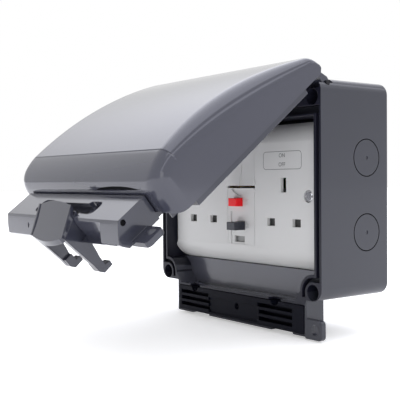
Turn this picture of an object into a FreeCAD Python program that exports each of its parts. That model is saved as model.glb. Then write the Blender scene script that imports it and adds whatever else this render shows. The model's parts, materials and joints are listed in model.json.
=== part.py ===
import FreeCAD, Part
import math
import os
import Sketcher
from FreeCAD import Placement, Rotation, Vector

# Weatherproof double socket: a wall box with a hinged, latched lid over a socket unit.
# Millimetres. X to the right seen from the front, Y into the wall, Z up.
# The origin is the centre of the box's back face, so depths from the wall run along -Y.

doc = FreeCAD.newDocument("weatherproof_socket")
sheet = doc.addObject("Spreadsheet::Sheet", "sizes")


class Size:
    """A length or angle with its number and the sheet expression behind it."""

    def __init__(self, value, text):
        self.value = float(value)
        self.text = text

    def joined(self, other, sign, value):
        return Size(value, "(%s %s %s)" % (self.text, sign, other.text))

    def __add__(self, other):
        other = as_size(other)
        return self.joined(other, "+", self.value + other.value)

    def __sub__(self, other):
        other = as_size(other)
        return self.joined(other, "-", self.value - other.value)

    def __mul__(self, other):
        other = as_size(other)
        return self.joined(other, "*", self.value * other.value)

    def __truediv__(self, other):
        other = as_size(other)
        return self.joined(other, "/", self.value / other.value)

    def __radd__(self, other):
        return as_size(other) + self

    def __rsub__(self, other):
        return as_size(other) - self

    def __rmul__(self, other):
        return as_size(other) * self

    def __neg__(self):
        return Size(-self.value, "(0 - %s)" % self.text)


def as_size(number):
    if isinstance(number, Size):
        return number
    return Size(number, "(%r)" % float(number))


def num(number):
    return as_size(number).value


def root(square):
    return Size(math.sqrt(square.value), "sqrt(%s)" % square.text)


sheet_rows = []


def size(name, value, note):
    """Write one driving dimension into the sheet."""
    row = len(sheet_rows) + 1
    sheet.set("A%d" % row, note)
    sheet.set("B%d" % row, str(value))
    sheet.setAlias("B%d" % row, name)
    sheet_rows.append(name)
    return Size(value, "sizes." + name)


# Fits
fit_gap = size("fit_gap", 0.3, "gap between mouldings that lie side by side")
pin_gap = size("pin_gap", 0.05, "radial gap of a pin in its bore")

# Socket plate
plate_side = size("plate_side", 32.4, "plate edge outside a socket's centre")
plate_height = size("plate_height", 86, "plate height")
plate_depth = size("plate_depth", 9.5, "plate from front face to back rim")
plate_wall = size("plate_wall", 2.2, "plate wall")
plate_drop = size("plate_drop", 3.8, "plate centre below the box centre")
plate_face = size("plate_face", 48.3, "plate front face from the wall")
plate_flat = size("plate_flat", 64, "height of the flat part of the plate's face")
plate_rim = size("plate_rim", 2.5, "straight rim at the plate's back edge")
plate_corner = size("plate_corner", 8, "plate corner radius")
plate_edge = size("plate_edge", 3, "rounding of the plate's left and right edges")
plate_boss_radius = size("plate_boss_radius", 4.2, "screw bosses behind the plate")
post_radius = size("post_radius", 3, "posts and columns of the tray's screws")
post_hole_radius = size("post_hole_radius", 1.3, "tray screw's hole in the plate's post")
post_drop = size("post_drop", 6.5, "tray screws below the tray's top")
panel_left_inset = size("panel_left_inset", 3, "sunk field inside the panel's left line")
panel_right_inset = size("panel_right_inset", 8, "sunk field inside the panel's right line")
panel_depth = size("panel_depth", 0.7, "depth of the sunk field")
panel_line = size("panel_line", 0.35, "width and depth of the panel's line")
panel_rise = size("panel_rise", 39, "top of the panel above the plate centre")
thumb_inset = size("thumb_inset", 4, "thumb hollow inside the panel's lines")
thumb_sag = size("thumb_sag", 4.2, "height of the thumb hollow")
thumb_depth = size("thumb_depth", 0.9, "depth of the thumb hollow")
fixing_side = size("fixing_side", 20.8, "fixing screw outside a socket's centre")
screw_head_radius = size("screw_head_radius", 3.4, "plate screw head radius")
screw_head_height = size("screw_head_height", 1.9, "plate screw head height")
screw_radius = size("screw_radius", 1.65, "plate screw shank radius")
screw_length = size("screw_length", 17, "plate screw length under the head")
screw_slot = size("screw_slot", 0.9, "screw slot width")

# Pin slots
socket_span = size("socket_span", 79, "distance between the two sockets' centres")
pin_span = size("pin_span", 22.2, "distance between the live and neutral pins")
live_slot_width = size("live_slot_width", 6.9, "live and neutral slot width")
live_slot_height = size("live_slot_height", 4.7, "live and neutral slot height")
earth_slot_width = size("earth_slot_width", 4.7, "earth slot width")
earth_slot_height = size("earth_slot_height", 8.7, "earth slot height")
live_drop = size("live_drop", 15.8, "live and neutral slots below the plate centre")
earth_rise = size("earth_rise", 6.5, "earth slot above the plate centre")

# Back box
rib_wall = size("rib_wall", 1.6, "rib round the plate opening")
groove_width = size("groove_width", 2.5, "seal groove width at the sides")
groove_top_width = size("groove_top_width", 4.3, "seal groove width at the top")
groove_depth = size("groove_depth", 6, "seal groove depth")
groove_end = size("groove_end", 1.8, "ends of the seal groove above the box's bottom")
seal_gap = size("seal_gap", 0.1, "gap round the seal in its groove")
skirt = size("skirt", 1.5, "outer wall beside the seal groove")
box_top = size("box_top", 62.1, "top of the box above its centre")
box_bottom = size("box_bottom", 62.1, "bottom of the box below its centre")
box_depth = size("box_depth", 55.8, "box depth")
box_wall = size("box_wall", 2.5, "box wall")
box_corner = size("box_corner", 7, "box corner radius seen from the front")
box_back_edge = size("box_back_edge", 1.2, "rounding of the box's back edges")
opening_top_gap = size("opening_top_gap", 2.4, "opening above the plate")
top_rib = size("top_rib", 1, "rib above the plate opening")
hollow_front = size("hollow_front", 36, "front of the wide hollow behind the plate")
hollow_half_height = size("hollow_half_height", 41.4, "half height of the wide hollow")
hollow_corner = size("hollow_corner", 17.8, "solid corner left at the sides of the hollow")
pillar_radius = size("pillar_radius", 4.4, "pillars behind the plate's screws")
insert_radius = size("insert_radius", 2.55, "threaded insert radius")
insert_length = size("insert_length", 10, "threaded insert length")
insert_room = size("insert_room", 2, "depth of the insert's hole past the insert")
pocket_depth = size("pocket_depth", 13, "cable pocket below the plate")
pocket_floor = size("pocket_floor", 63.8, "cable pocket floor below the box centre")
pocket_foot = size("pocket_foot", 55.5, "half width of the cable pocket's floor")

# Corner wells for the wall screws
well_inset = size("well_inset", 0.9, "wells inside the plate's left and right edges")
well_low = size("well_low", 57.3, "lower wells below the box centre")
well_high = size("well_high", 51.8, "upper wells above the box centre")
well_radius = size("well_radius", 4.5, "well radius")
well_wall = size("well_wall", 1.5, "wall round a well")
well_floor = size("well_floor", 3.2, "floor of a well")
wall_hole_radius = size("wall_hole_radius", 2.5, "wall fixing hole radius")

# Lid hinge
hinge_depth = size("hinge_depth", 49.2, "hinge axis from the wall")
hinge_height = size("hinge_height", 59.3, "hinge axis above the box centre")
hinge_pin_radius = size("hinge_pin_radius", 1.4, "hinge pin radius")
knuckle_radius = size("knuckle_radius", 2.55, "lid knuckle radius")
knuckle_length = size("knuckle_length", 7.2, "lid knuckle length")
step_floor = size("step_floor", 2.85, "hinge step floor below the hinge axis")
step_back = size("step_back", 4.6, "hinge step back wall behind the hinge axis")
lug_width = size("lug_width", 2.5, "inner hinge lug width")
lug_reach = size("lug_reach", 2.4, "lug in front of and behind the hinge axis")
ledge_height = size("ledge_height", 6.2, "dark recess under the hinge step")
ledge_depth = size("ledge_depth", 20, "depth of that recess")
ledge_gap = size("ledge_gap", 1.2, "web between the hinge step and that recess")
lid_open_angle = size("lid_open_angle", 51.6, "lid angle in the rest pose")

# Knockouts
knockout_radius = size("knockout_radius", 11, "knockout ring radius")
knockout_line = size("knockout_line", 0.6, "knockout ring width")
knockout_groove = size("knockout_groove", 0.8, "knockout ring depth")
knockout_depth = size("knockout_depth", 18.8, "knockout centre from the wall")
knockout_high = size("knockout_high", 18.2, "upper knockout above the box centre")
knockout_low = size("knockout_low", 24.8, "lower knockout below the box centre")
knockout_side = size("knockout_side", 34, "top and bottom knockouts from the middle")
dimple_radius = size("dimple_radius", 1.1, "dimple in the knockout's centre")

# Cable apron and gate
apron_left = size("apron_left", 59, "apron's left end")
apron_right = size("apron_right", 66, "apron's right end")
apron_low = size("apron_low", 82.8, "apron bottom below the box centre")
apron_depth = size("apron_depth", 13.6, "apron depth")
apron_wall = size("apron_wall", 1.6, "apron wall")
apron_back_wall = size("apron_back_wall", 3.5, "apron back wall")
apron_step = size("apron_step", 1, "height of the steps in the apron's lower edge")
apron_step_start = size("apron_step_start", 3, "steps begin left of a slot grid's middle")
gate_proud = size("gate_proud", 0.4, "gate in front of the apron")
gate_slot_height = size("gate_slot_height", 2.4, "height of a gate slot")
gate_slot_pitch = size("gate_slot_pitch", 4.1, "pitch of the gate slots")
gate_slot_depth = size("gate_slot_depth", 6, "depth of the gate slots")
gate_grid_width = size("gate_grid_width", 30.4, "width of a slot grid")
gate_grid_span = size("gate_grid_span", 79, "distance between the grids' centres")
gate_first_slot = size("gate_first_slot", 3.9, "first slot's middle below the gate's top")
gate_notch_radius = size("gate_notch_radius", 3.4, "half round cable notch")
wall_notch_width = size("wall_notch_width", 11, "cable notch in the wall above the gate")
wall_notch_depth = size("wall_notch_depth", 5, "depth of that notch")
gate_panel_top = size("gate_panel_top", 5, "gate's middle panel below its top")
gate_panel_edge = size("gate_panel_edge", 1, "rim under the gate's middle panel")
gate_panel_depth = size("gate_panel_depth", 1.2, "depth of the gate's middle panel")
gate_screw_side = size("gate_screw_side", 3.2, "gate screw right of the middle")
gate_screw_head = size("gate_screw_head", 1.9, "gate screw head radius")
gate_screw_radius = size("gate_screw_radius", 1.2, "gate screw shank radius")
gate_screw_recess = size("gate_screw_recess", 4.5, "recess round the gate screw's head")
gate_screw_height = size("gate_screw_height", 1.4, "gate screw head height")
pilot_floor = size("pilot_floor", 0.8, "wall left behind the gate screw's pilot hole")

# Padlock ears
ear_reach = size("ear_reach", 78, "ears' right edge")
ear_top = size("ear_top", 72.4, "base ear top below the box centre")
ear_bottom = size("ear_bottom", 83.7, "base ear bottom below the box centre")
ear_thickness = size("ear_thickness", 3, "ear thickness")
ear_hole_side = size("ear_hole_side", 72.2, "padlock hole from the middle")
ear_hole_low = size("ear_hole_low", 78, "padlock hole below the box centre")
ear_hole_radius = size("ear_hole_radius", 3, "padlock hole radius")
ear_corner = size("ear_corner", 2.5, "ear corner radius")
lid_ear_low = size("lid_ear_low", 2.6, "lid ear's lower edge below the base ear's")
lid_ear_top = size("lid_ear_top", 2.2, "lid ear's upper edge below the base ear's")

# Lid, with down the lid from the hinge axis and out from it while shut
lid_rim = size("lid_rim", 7.3, "lid rim in front of the hinge axis")
lid_wall = size("lid_wall", 2, "lid cover wall")
lid_edge = size("lid_edge", 12, "rounding of the lid's side edges")
lid_crown = size("lid_crown", 6.6, "bulge of the lid's top along its length")
lid_crease_down = size("lid_crease_down", 107.5, "crease down the lid")
lid_crease_out = size("lid_crease_out", 36.4, "crease in front of the hinge axis")
lid_nose_down = size("lid_nose_down", 125, "lower edge of the front band down the lid")
lid_nose_out = size("lid_nose_out", 23.5, "lower edge of the band, out")
lid_nose_corner = size("lid_nose_corner", 10, "corner radius of the band, seen from above")
lid_back_out = size("lid_back_out", 19.9, "height of the lid's hinge end")
lid_back_down = size("lid_back_down", 5.5, "upper edge of the hinge end down the lid")
lid_length = size("lid_length", 125.4, "lid cover length")
grip_start = size("grip_start", 16, "left end of the slot in the band's lower edge")
grip_end = size("grip_end", 59, "right end of that slot")
grip_height = size("grip_height", 2.1, "height of that slot")
tongue_reach = size("tongue_reach", 3.9, "tongue past the lid rim")
tongue_wall = size("tongue_wall", 1.4, "tongue thickness")
flange_thickness = size("flange_thickness", 2.2, "inner frame flange")
flange_back = size("flange_back", 2.6, "flange behind the lid rim plane, into the lid")
flange_inner = size("flange_inner", 57, "half width of the frame's opening")
lid_screw_side = size("lid_screw_side", 63, "lid screws from the middle")
lid_screw_radius = size("lid_screw_radius", 1.3, "lid screw radius")
lid_boss_radius = size("lid_boss_radius", 3.2, "screw boss radius")
lid_boss_cover = size("lid_boss_cover", 1.2, "lid above the end of a screw boss")
lid_pilot_depth = size("lid_pilot_depth", 9, "depth of a lid screw's pilot hole")
lid_screw_length = size("lid_screw_length", 10, "lid screw shank length")
small_head_radius = size("small_head_radius", 2.6, "head radius of the lid and tray screws")
small_head_height = size("small_head_height", 1.4, "head height of the lid and tray screws")
small_slot_length = size("small_slot_length", 3.6, "length of the slot in those heads")
small_slot_width = size("small_slot_width", 0.8, "width of the slot in those heads")
lid_back_start = size("lid_back_start", 2.2, "lower edge of the hinge end down the lid")
lid_back_lip = size("lid_back_lip", 2.4, "chamfer under the hinge end")
lid_back_face = size("lid_back_face", 5.5, "height of the hinge end's rounding")
lid_back_bulge = size("lid_back_bulge", 1, "bulge of that rounding")
lid_back_foot = size("lid_back_foot", 0.4, "lower end of that rounding down the lid")
notch_end = size("notch_end", 3, "end of the knuckle notches down from the axis")
notch_height = size("notch_height", 5.8, "height of the knuckle notches")
neck_height = size("neck_height", 5.6, "height of the notch for the latch housing's neck")
neck_inset = size("neck_inset", 3.8, "neck inside the ends of the latch housing")
flange_corner = size("flange_corner", 5, "corner radius of the frame's opening")
flange_start_down = size("flange_start_down", 4.8, "hinge edge of the frame's flange")
flange_open_down = size("flange_open_down", 20, "hinge edge of the frame's opening")
flange_open_edge = size("flange_open_edge", 4, "frame's opening ends before the crease")

# Latch housing on the lid
housing_half = size("housing_half", 64.5, "half width of the latch housing")
housing_top = size("housing_top", 126.1, "top of the housing down the lid")
housing_front = size("housing_front", 22.8, "front of the housing, out")
housing_back = size("housing_back", 8.4, "back of the housing, out")
housing_corner = size("housing_corner", 144.8, "front corner of the housing, down")
housing_low = size("housing_low", 151.5, "lowest edge of the housing, down")
housing_wall = size("housing_wall", 2.2, "housing wall")
housing_heel = size("housing_heel", 13.4, "lowest edge of the housing, out")
housing_rise = size("housing_rise", 3.5, "slope of the housing's underside")
recess_above = size("recess_above", 10, "latch recess above the pin")
recess_behind = size("recess_behind", 4.8, "latch recess behind and above the pin")
scoop_reach = size("scoop_reach", 34, "finger scoops beside the lever, from the middle")
scoop_top = size("scoop_top", 131.7, "upper end of the finger scoops")
scoop_low = size("scoop_low", 141.4, "lower end of the finger scoops")
scoop_depth = size("scoop_depth", 3.6, "depth of the finger scoops")
slope_step = size("slope_step", 47.5, "end of the stepped slope under the housing")
slope_floor = size("slope_floor", 2.6, "wall left under the stepped slope")
drain_side = size("drain_side", 35, "drain hole left of the middle")
drain_down = size("drain_down", 3.6, "drain hole below the housing's corner")
drain_radius = size("drain_radius", 0.9, "drain hole radius")
pin_recess = size("pin_recess", 3, "latch pin ends inside the housing's end faces")
latch_down = size("latch_down", 143.3, "latch pin down the lid")
latch_out = size("latch_out", 20.3, "latch pin in front of the hinge axis")
latch_pin_radius = size("latch_pin_radius", 1.5, "latch pin radius")
latch_half = size("latch_half", 19.8, "half width of the latch lever")
latch_side_gap = size("latch_side_gap", 0.7, "gap beside the latch lever")
lever_thickness = size("lever_thickness", 3.4, "latch lever thickness")
lever_above = size("lever_above", 3.7, "lever above its pin, measured down the lid")
lever_below = size("lever_below", 15.1, "lever below its pin, measured down the lid")
lever_front = size("lever_front", 10.1, "lever's upper edge in front of its pin")
lever_foot = size("lever_foot", 2.4, "lever's lower edge behind its pin")
lever_corner = size("lever_corner", 4.7, "lever corner radius")
arm_inner = size("arm_inner", 15.8, "inner side of a latch arm from the middle")
arm_width = size("arm_width", 3.8, "latch arm width")
hook_inner = size("hook_inner", 13.4, "inner side of a hook from the middle")

# Switches and buttons
rocker_width = size("rocker_width", 13.1, "rocker width")
rocker_height = size("rocker_height", 22.8, "rocker height")
rocker_gap = size("rocker_gap", 0.6, "gap between the rockers")
rocker_rise = size("rocker_rise", 17.1, "rocker pivot above the plate centre")
rocker_pivot = size("rocker_pivot", 4.8, "rocker pivot behind the plate face")
rocker_front = size("rocker_front", 4.6, "rocker ends in front of the pivot")
rocker_tilt = size("rocker_tilt", 6, "rocker tilt either side of its middle")
rocker_back = size("rocker_back", 1.8, "rocker's back behind its pivot")
rocker_end = size("rocker_end", 3.4, "thickness of a rocker's ends")
rocker_dish = size("rocker_dish", 0.45, "hollow of a rocker's front")
axle_past = size("axle_past", 2, "axle past the rockers on either side")
axle_radius = size("axle_radius", 1.2, "rocker axle radius")
test_width = size("test_width", 8.2, "test button width")
button_height = size("button_height", 5.1, "height of both buttons")
test_side = size("test_side", 2.6, "test button left of the middle")
test_drop = size("test_drop", 4.25, "test button below the plate centre")
test_proud = size("test_proud", 5.1, "test button in front of the plate")
reset_width = size("reset_width", 8, "reset button width")
reset_side = size("reset_side", 1.2, "reset button left of the middle")
reset_drop = size("reset_drop", 19.2, "reset button below the plate centre")
reset_proud = size("reset_proud", 7.8, "reset button in front of the plate")
button_flange = size("button_flange", 1, "button flange round the button")
button_flange_depth = size("button_flange_depth", 1.4, "button flange thickness")
stem_radius = size("stem_radius", 1.2, "button stem radius")
stem_length = size("stem_length", 4, "button stem length")
button_spring_radius = size("button_spring_radius", 2, "button spring mean radius")
spring_wire = size("spring_wire", 0.3, "spring wire radius")
button_turns = size("button_turns", 5, "turns of a button spring")
shutter_turns = size("shutter_turns", 4, "turns of a shutter spring")
shutter_spring_radius = size("shutter_spring_radius", 1.7, "shutter spring mean radius")
button_edge = size("button_edge", 0.5, "rounding of a button's front edges")
carriage_thickness = size("carriage_thickness", 1.4, "contact carriage thickness")
panel_half = size("panel_half", 13.4, "half width of the centre panel")
window_width = size("window_width", 10.1, "flag window width")
window_height = size("window_height", 3.9, "flag window height")
window_side = size("window_side", 2.35, "flag window left of the middle")
window_drop = size("window_drop", 27.75, "flag window below the plate centre")

# Tray behind the plate
tray_clearance = size("tray_clearance", 0.6, "gap between the outer contacts and the tray")
housing_screw_side = size("housing_screw_side", 20, "tray screws from the middle")
tray_high = size("tray_high", 33.8, "tray top above the plate centre")
tray_low = size("tray_low", 34.2, "tray bottom below the plate centre")
tray_back = size("tray_back", 16, "tray back from the wall")
tray_wall = size("tray_wall", 1.6, "tray wall")
tray_corner = size("tray_corner", 3, "tray corner radius")
tray_screw_radius = size("tray_screw_radius", 1.25, "tray screw shank radius")
tray_bore_radius = size("tray_bore_radius", 1.45, "tray screw's bore in its column")
board_post_radius = size("board_post_radius", 1.5, "posts under the circuit board")
board_post_inset = size("board_post_inset", 2, "posts inside the board's edges")
bar_thickness = size("bar_thickness", 1, "bus bar thickness")
bar_width = size("bar_width", 3, "bus bar width")
contact_wall = size("contact_wall", 0.8, "contact leaf thickness")
contact_top = size("contact_top", 43.2, "front of the contacts from the wall")
contact_width = size("contact_width", 6, "contact width")
contact_flare = size("contact_flare", 0.9, "flare of the leaves' ends")
contact_flare_length = size("contact_flare_length", 4, "length of the flare")
contact_play = size("contact_play", 0.1, "gap between a leaf and a pin")
earth_contact_half = size("earth_contact_half", 3.6, "half width of an earth contact")
bar_side = size("bar_side", 0.7, "gap between the bars and the tray's sides")
bar_run = size("bar_run", 1.4, "width of a bar's run up the tray's side")
bar_shift = size("bar_shift", 6, "bars' strips above and below the contacts")
pin_thickness = size("pin_thickness", 4, "plug pin thickness")
board_back = size("board_back", 20.2, "circuit board from the wall")
board_thickness = size("board_thickness", 1.6, "circuit board thickness")
board_half = size("board_half", 13, "half width of the circuit board")
board_low = size("board_low", 31.8, "board's lower edge below the plate centre")
board_high = size("board_high", 20.8, "board's upper edge above the plate centre")
core_drop = size("core_drop", 6, "transformer core below the rocker pivot")
core_radius = size("core_radius", 8.5, "transformer core radius")
core_hole = size("core_hole", 4.5, "radius of the core's hole")
core_height = size("core_height", 8, "transformer core height")
core_edge = size("core_edge", 1.2, "rounding of the core's edges")
coil_side = size("coil_side", 5.5, "trip coil right of the middle")
coil_drop = size("coil_drop", 11.6, "trip coil below the plate centre")
coil_length = size("coil_length", 10, "trip coil length")
coil_width = size("coil_width", 8, "width of the coil's foot")
coil_foot = size("coil_foot", 2, "thickness of the coil's foot")
coil_radius = size("coil_radius", 3.6, "trip coil radius")
shutter_thickness = size("shutter_thickness", 1.5, "shutter thickness")
shutter_blade = size("shutter_blade", 7.3, "shutter blade height")
shutter_arm = size("shutter_arm", 3.2, "half width of a shutter's arm")
shutter_cam = size("shutter_cam", 2.6, "depth of the wedge behind a shutter's arm")
shutter_cam_length = size("shutter_cam_length", 6, "length of that wedge")
shutter_cam_half = size("shutter_cam_half", 2.2, "half width of that wedge")
shutter_lap = size("shutter_lap", 2.4, "shutter arm over the earth slot's lower edge")
shutter_seat = size("shutter_seat", 3, "depth of the spring's seat")
terminal_size = size("terminal_size", 8, "terminal block width")
terminal_drop = size("terminal_drop", 7.5, "terminals below the tray's top")
terminal_depth = size("terminal_depth", 9, "terminal block depth")
terminal_side = size("terminal_side", 30, "live and neutral terminals from the middle")
terminal_screw_radius = size("terminal_screw_radius", 1.25, "terminal screw radius")
terminal_screw_head = size("terminal_screw_head", 1.9, "terminal screw head radius")
wire_radius = size("wire_radius", 1.6, "wire bore radius")

doc.recompute()

# Places worked out from the sizes
plate_half = socket_span / 2 + plate_side
plate_width = plate_half * 2
fixing_span = socket_span + fixing_side * 2
well_span = plate_width - well_inset * 2
tray_half = (socket_span + pin_span + contact_width) / 2 + tray_wall + tray_clearance
opening_half = plate_half + fit_gap
rib_outside = opening_half + rib_wall
groove_outside = rib_outside + groove_width
box_half = groove_outside + skirt
plate_middle = -plate_drop
opening_bottom = plate_middle - plate_height / 2 - fit_gap
opening_top = plate_middle + plate_height / 2 + opening_top_gap
groove_bottom_z = opening_top + top_rib
groove_floor = box_depth - groove_depth
groove_turn = well_radius + well_wall + groove_width
apron_back = box_depth - apron_depth
gate_back = apron_back + apron_back_wall
gate_top = -pocket_floor - apron_wall
gate_low = -apron_low + apron_wall
plate_inside = plate_face - plate_wall
plate_back = plate_face - plate_depth
tray_floor = tray_back + tray_wall
bar_front = tray_floor + bar_thickness
rocker_z = plate_middle + rocker_rise
rocker_axis = plate_face - rocker_pivot
test_z = plate_middle - test_drop
reset_z = plate_middle - reset_drop
window_z = plate_middle - window_drop
live_z = plate_middle - live_drop
earth_z = plate_middle + earth_rise
board_front = board_back + board_thickness

# Overlap of forms that are joined, and reach of a cut past the form that it cuts
LAP = 1
# Height of a quarter circle's bulge over its chord, as a share of the radius
QUARTER = 1 - math.sqrt(0.5)
PLANES = {"front": "XZ_Plane", "side": "YZ_Plane", "top": "XY_Plane"}
parts = []


def bind(thing, name, value):
    """Set a property and tie it to the sheet."""
    value = as_size(value)
    if not name.startswith("."):
        setattr(thing, name, value.value)
    thing.setExpression(name, value.text)


def new_body(label):
    body = doc.addObject("PartDesign::Body", label)
    body.Label = label
    return body


def keep(thing, label):
    """List a finished sub-part under its own name."""
    thing.Label = label
    parts.append(thing)
    return thing


class Drawing:
    """The lines, arcs and bound constraints of one sketch."""

    def __init__(self):
        self.lines = []
        self.limits = []

    def limit(self, *values):
        """Add a constraint. A size as its last value is tied to the sheet."""
        last = values[-1]
        if isinstance(last, Size):
            self.limits.append((Sketcher.Constraint(*values[:-1], last.value), last.text))
        else:
            self.limits.append((Sketcher.Constraint(*values), None))

    def circle(self, x, y, radius):
        index = len(self.lines)
        self.lines.append(Part.Circle(Vector(num(x), num(y), 0), Vector(0, 0, 1), num(radius)))
        self.limit("DistanceX", -1, 1, index, 3, as_size(x))
        self.limit("DistanceY", -1, 1, index, 3, as_size(y))
        self.limit("Radius", index, as_size(radius))

    def arc(self, start, end, bulge):
        """An arc that bulges to the right of the way from start to end."""
        index = len(self.lines)
        first = Vector(num(start[0]), num(start[1]), 0)
        last = Vector(num(end[0]), num(end[1]), 0)
        along = last - first
        right = Vector(along.y, -along.x, 0).normalize()
        middle = (first + last) * 0.5 + right * bulge.value
        run = as_size(end[0]) - start[0]
        rise = as_size(end[1]) - start[1]
        radius = (run * run + rise * rise) / (8 * bulge) + bulge / 2
        if bulge.value > 0:
            self.lines.append(Part.Arc(first, middle, last))
            self.limit("Radius", index, radius)
            return index, 1, 2
        self.lines.append(Part.Arc(last, middle, first))
        self.limit("Radius", index, -radius)
        return index, 2, 1

    def outline(self, points):
        """Close an outline. A third value bulges the edge that follows to its right."""
        ends = []
        for place, point in enumerate(points):
            after = points[(place + 1) % len(points)]
            if len(point) == 3:
                ends.append(self.arc(point, after, as_size(point[2])))
                continue
            start = Vector(num(point[0]), num(point[1]), 0)
            end = Vector(num(after[0]), num(after[1]), 0)
            ends.append((len(self.lines), 1, 2))
            self.lines.append(Part.LineSegment(start, end))
        for place, (index, first, last) in enumerate(ends):
            after = ends[(place + 1) % len(ends)]
            self.limit("Coincident", index, last, after[0], after[1])
            self.limit("DistanceX", -1, 1, index, first, as_size(points[place][0]))
            self.limit("DistanceY", -1, 1, index, first, as_size(points[place][1]))


def new_sketch(body, plane, loops, offset=0):
    """Draw closed loops on one of the body's planes, moved along its normal."""
    sketch = body.newObject("Sketcher::SketchObject", "outline")
    datum = [item for item in body.Origin.OriginFeatures if item.Role == PLANES[plane]][0]
    sketch.AttachmentSupport = (datum, [""])
    sketch.MapMode = "FlatFace"
    sketch.AttachmentOffset = Placement(Vector(0, 0, num(offset)), Rotation())
    bind(sketch, ".AttachmentOffset.Base.z", offset)
    drawing = Drawing()
    for loop in loops:
        if loop[0] == "circle":
            drawing.circle(*loop[1:])
        else:
            drawing.outline(loop)
    sketch.addGeometry(drawing.lines, False)
    sketch.addConstraint([constraint for constraint, text in drawing.limits])
    for row, (constraint, text) in enumerate(drawing.limits):
        if text:
            sketch.setExpression("Constraints[%d]" % row, text)
    return sketch


def pad(body, plane, loops, offset, length, symmetric=False):
    """Add material along the plane's normal."""
    profile = new_sketch(body, plane, loops, offset)
    feature = body.newObject("PartDesign::Pad", "pad")
    feature.Profile = profile
    bind(feature, "Length", length)
    if symmetric:
        feature.SideType = "Symmetric"
    doc.recompute()
    return feature


def pocket(body, plane, loops, offset, length, reverse=False, symmetric=False):
    """Cut material against the plane's normal, or along it when reversed."""
    before = body.Shape.Volume
    profile = new_sketch(body, plane, loops, offset)
    feature = body.newObject("PartDesign::Pocket", "pocket")
    feature.Profile = profile
    bind(feature, "Length", length)
    feature.Reversed = reverse
    if symmetric:
        feature.SideType = "Symmetric"
    doc.recompute()
    if not body.Shape.Volume < before:
        raise RuntimeError("a cut in %s removes nothing" % body.Label)
    return feature


def fillet(body, radius, test):
    """Round the edges of the body's tip that pass the test."""
    base = body.Tip
    names = ["Edge%d" % (index + 1) for index, edge in enumerate(base.Shape.Edges) if test(edge)]
    feature = body.newObject("PartDesign::Fillet", "rounding")
    feature.Base = (base, names)
    bind(feature, "Radius", radius)
    doc.recompute()
    return feature


def revolve(body, loops):
    """Turn an outline on the side plane about the depth axis through the origin."""
    profile = new_sketch(body, "side", loops)
    feature = body.newObject("PartDesign::Revolution", "turned")
    feature.Profile = profile
    feature.ReferenceAxis = (profile, ["H_Axis"])
    feature.Angle = 360
    doc.recompute()
    return feature


def place(thing, x=0, y=0, z=0, axis=None, angle=0):
    """Place a sub-part, turned about an axis by an angle, all tied to the sheet."""
    axis = axis or Vector(-1, 0, 0)
    thing.Placement = Placement(Vector(num(x), num(y), num(z)), Rotation(axis, num(angle)))
    bind(thing, ".Placement.Base.x", x)
    bind(thing, ".Placement.Base.y", y)
    bind(thing, ".Placement.Base.z", z)
    if isinstance(angle, Size):
        thing.setExpression(".Placement.Rotation.Angle", angle.text)


def on_lid(thing):
    """Swing a lid piece, modelled shut about the hinge axis, to the rest pose."""
    place(thing, 0, -hinge_depth, hinge_height, Vector(-1, 0, 0), lid_open_angle)


def rectangle(left, right, low, high):
    return [(left, low), (right, low), (right, high), (left, high)]


def centred(x, y, width, height):
    return rectangle(x - width / 2, x + width / 2, y - height / 2, y + height / 2)


def rounded(left, right, low, high, radius):
    """A rectangle with round corners, counter-clockwise."""
    bulge = radius * QUARTER
    return [
        (left + radius, low), (right - radius, low, bulge),
        (right, low + radius), (right, high - radius, bulge),
        (right - radius, high), (left + radius, high, bulge),
        (left, high - radius), (left, low + radius, bulge),
    ]


def circle(x, y, radius):
    return ("circle", x, y, radius)


def near(a, b):
    return abs(a - num(b)) < 0.01


def seal_band(inner, outer, outer_top, raise_by):
    """The band that the groove, the seal and the tongue share, in front view."""
    end = -box_bottom + groove_end + raise_by
    low = -well_low + raise_by
    wells = well_span / 2
    turn_in = groove_turn - inner
    turn_out = groove_turn - outer
    top_in = groove_bottom_z + inner + raise_by
    top_out = groove_bottom_z + outer_top + raise_by
    inside = rib_outside + inner
    outside = rib_outside + outer
    right = [
        (wells - turn_out, end),
        (wells - turn_out, low, -(turn_out * QUARTER)),
        (wells, low + turn_out),
        (outside, low + turn_out),
        (outside, top_out),
    ]
    left = [
        (-outside, top_out),
        (-outside, low + turn_out),
        (-wells, low + turn_out, -(turn_out * QUARTER)),
        (-(wells - turn_out), low),
        (-(wells - turn_out), end),
    ]
    back_left = [
        (-(wells - turn_in), end),
        (-(wells - turn_in), low, turn_in * QUARTER),
        (-wells, low + turn_in),
        (-inside, low + turn_in),
        (-inside, top_in),
    ]
    back_right = [
        (inside, top_in),
        (inside, low + turn_in),
        (wells, low + turn_in, turn_in * QUARTER),
        (wells - turn_in, low),
        (wells - turn_in, end),
    ]
    return right + left + back_left + back_right


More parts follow.
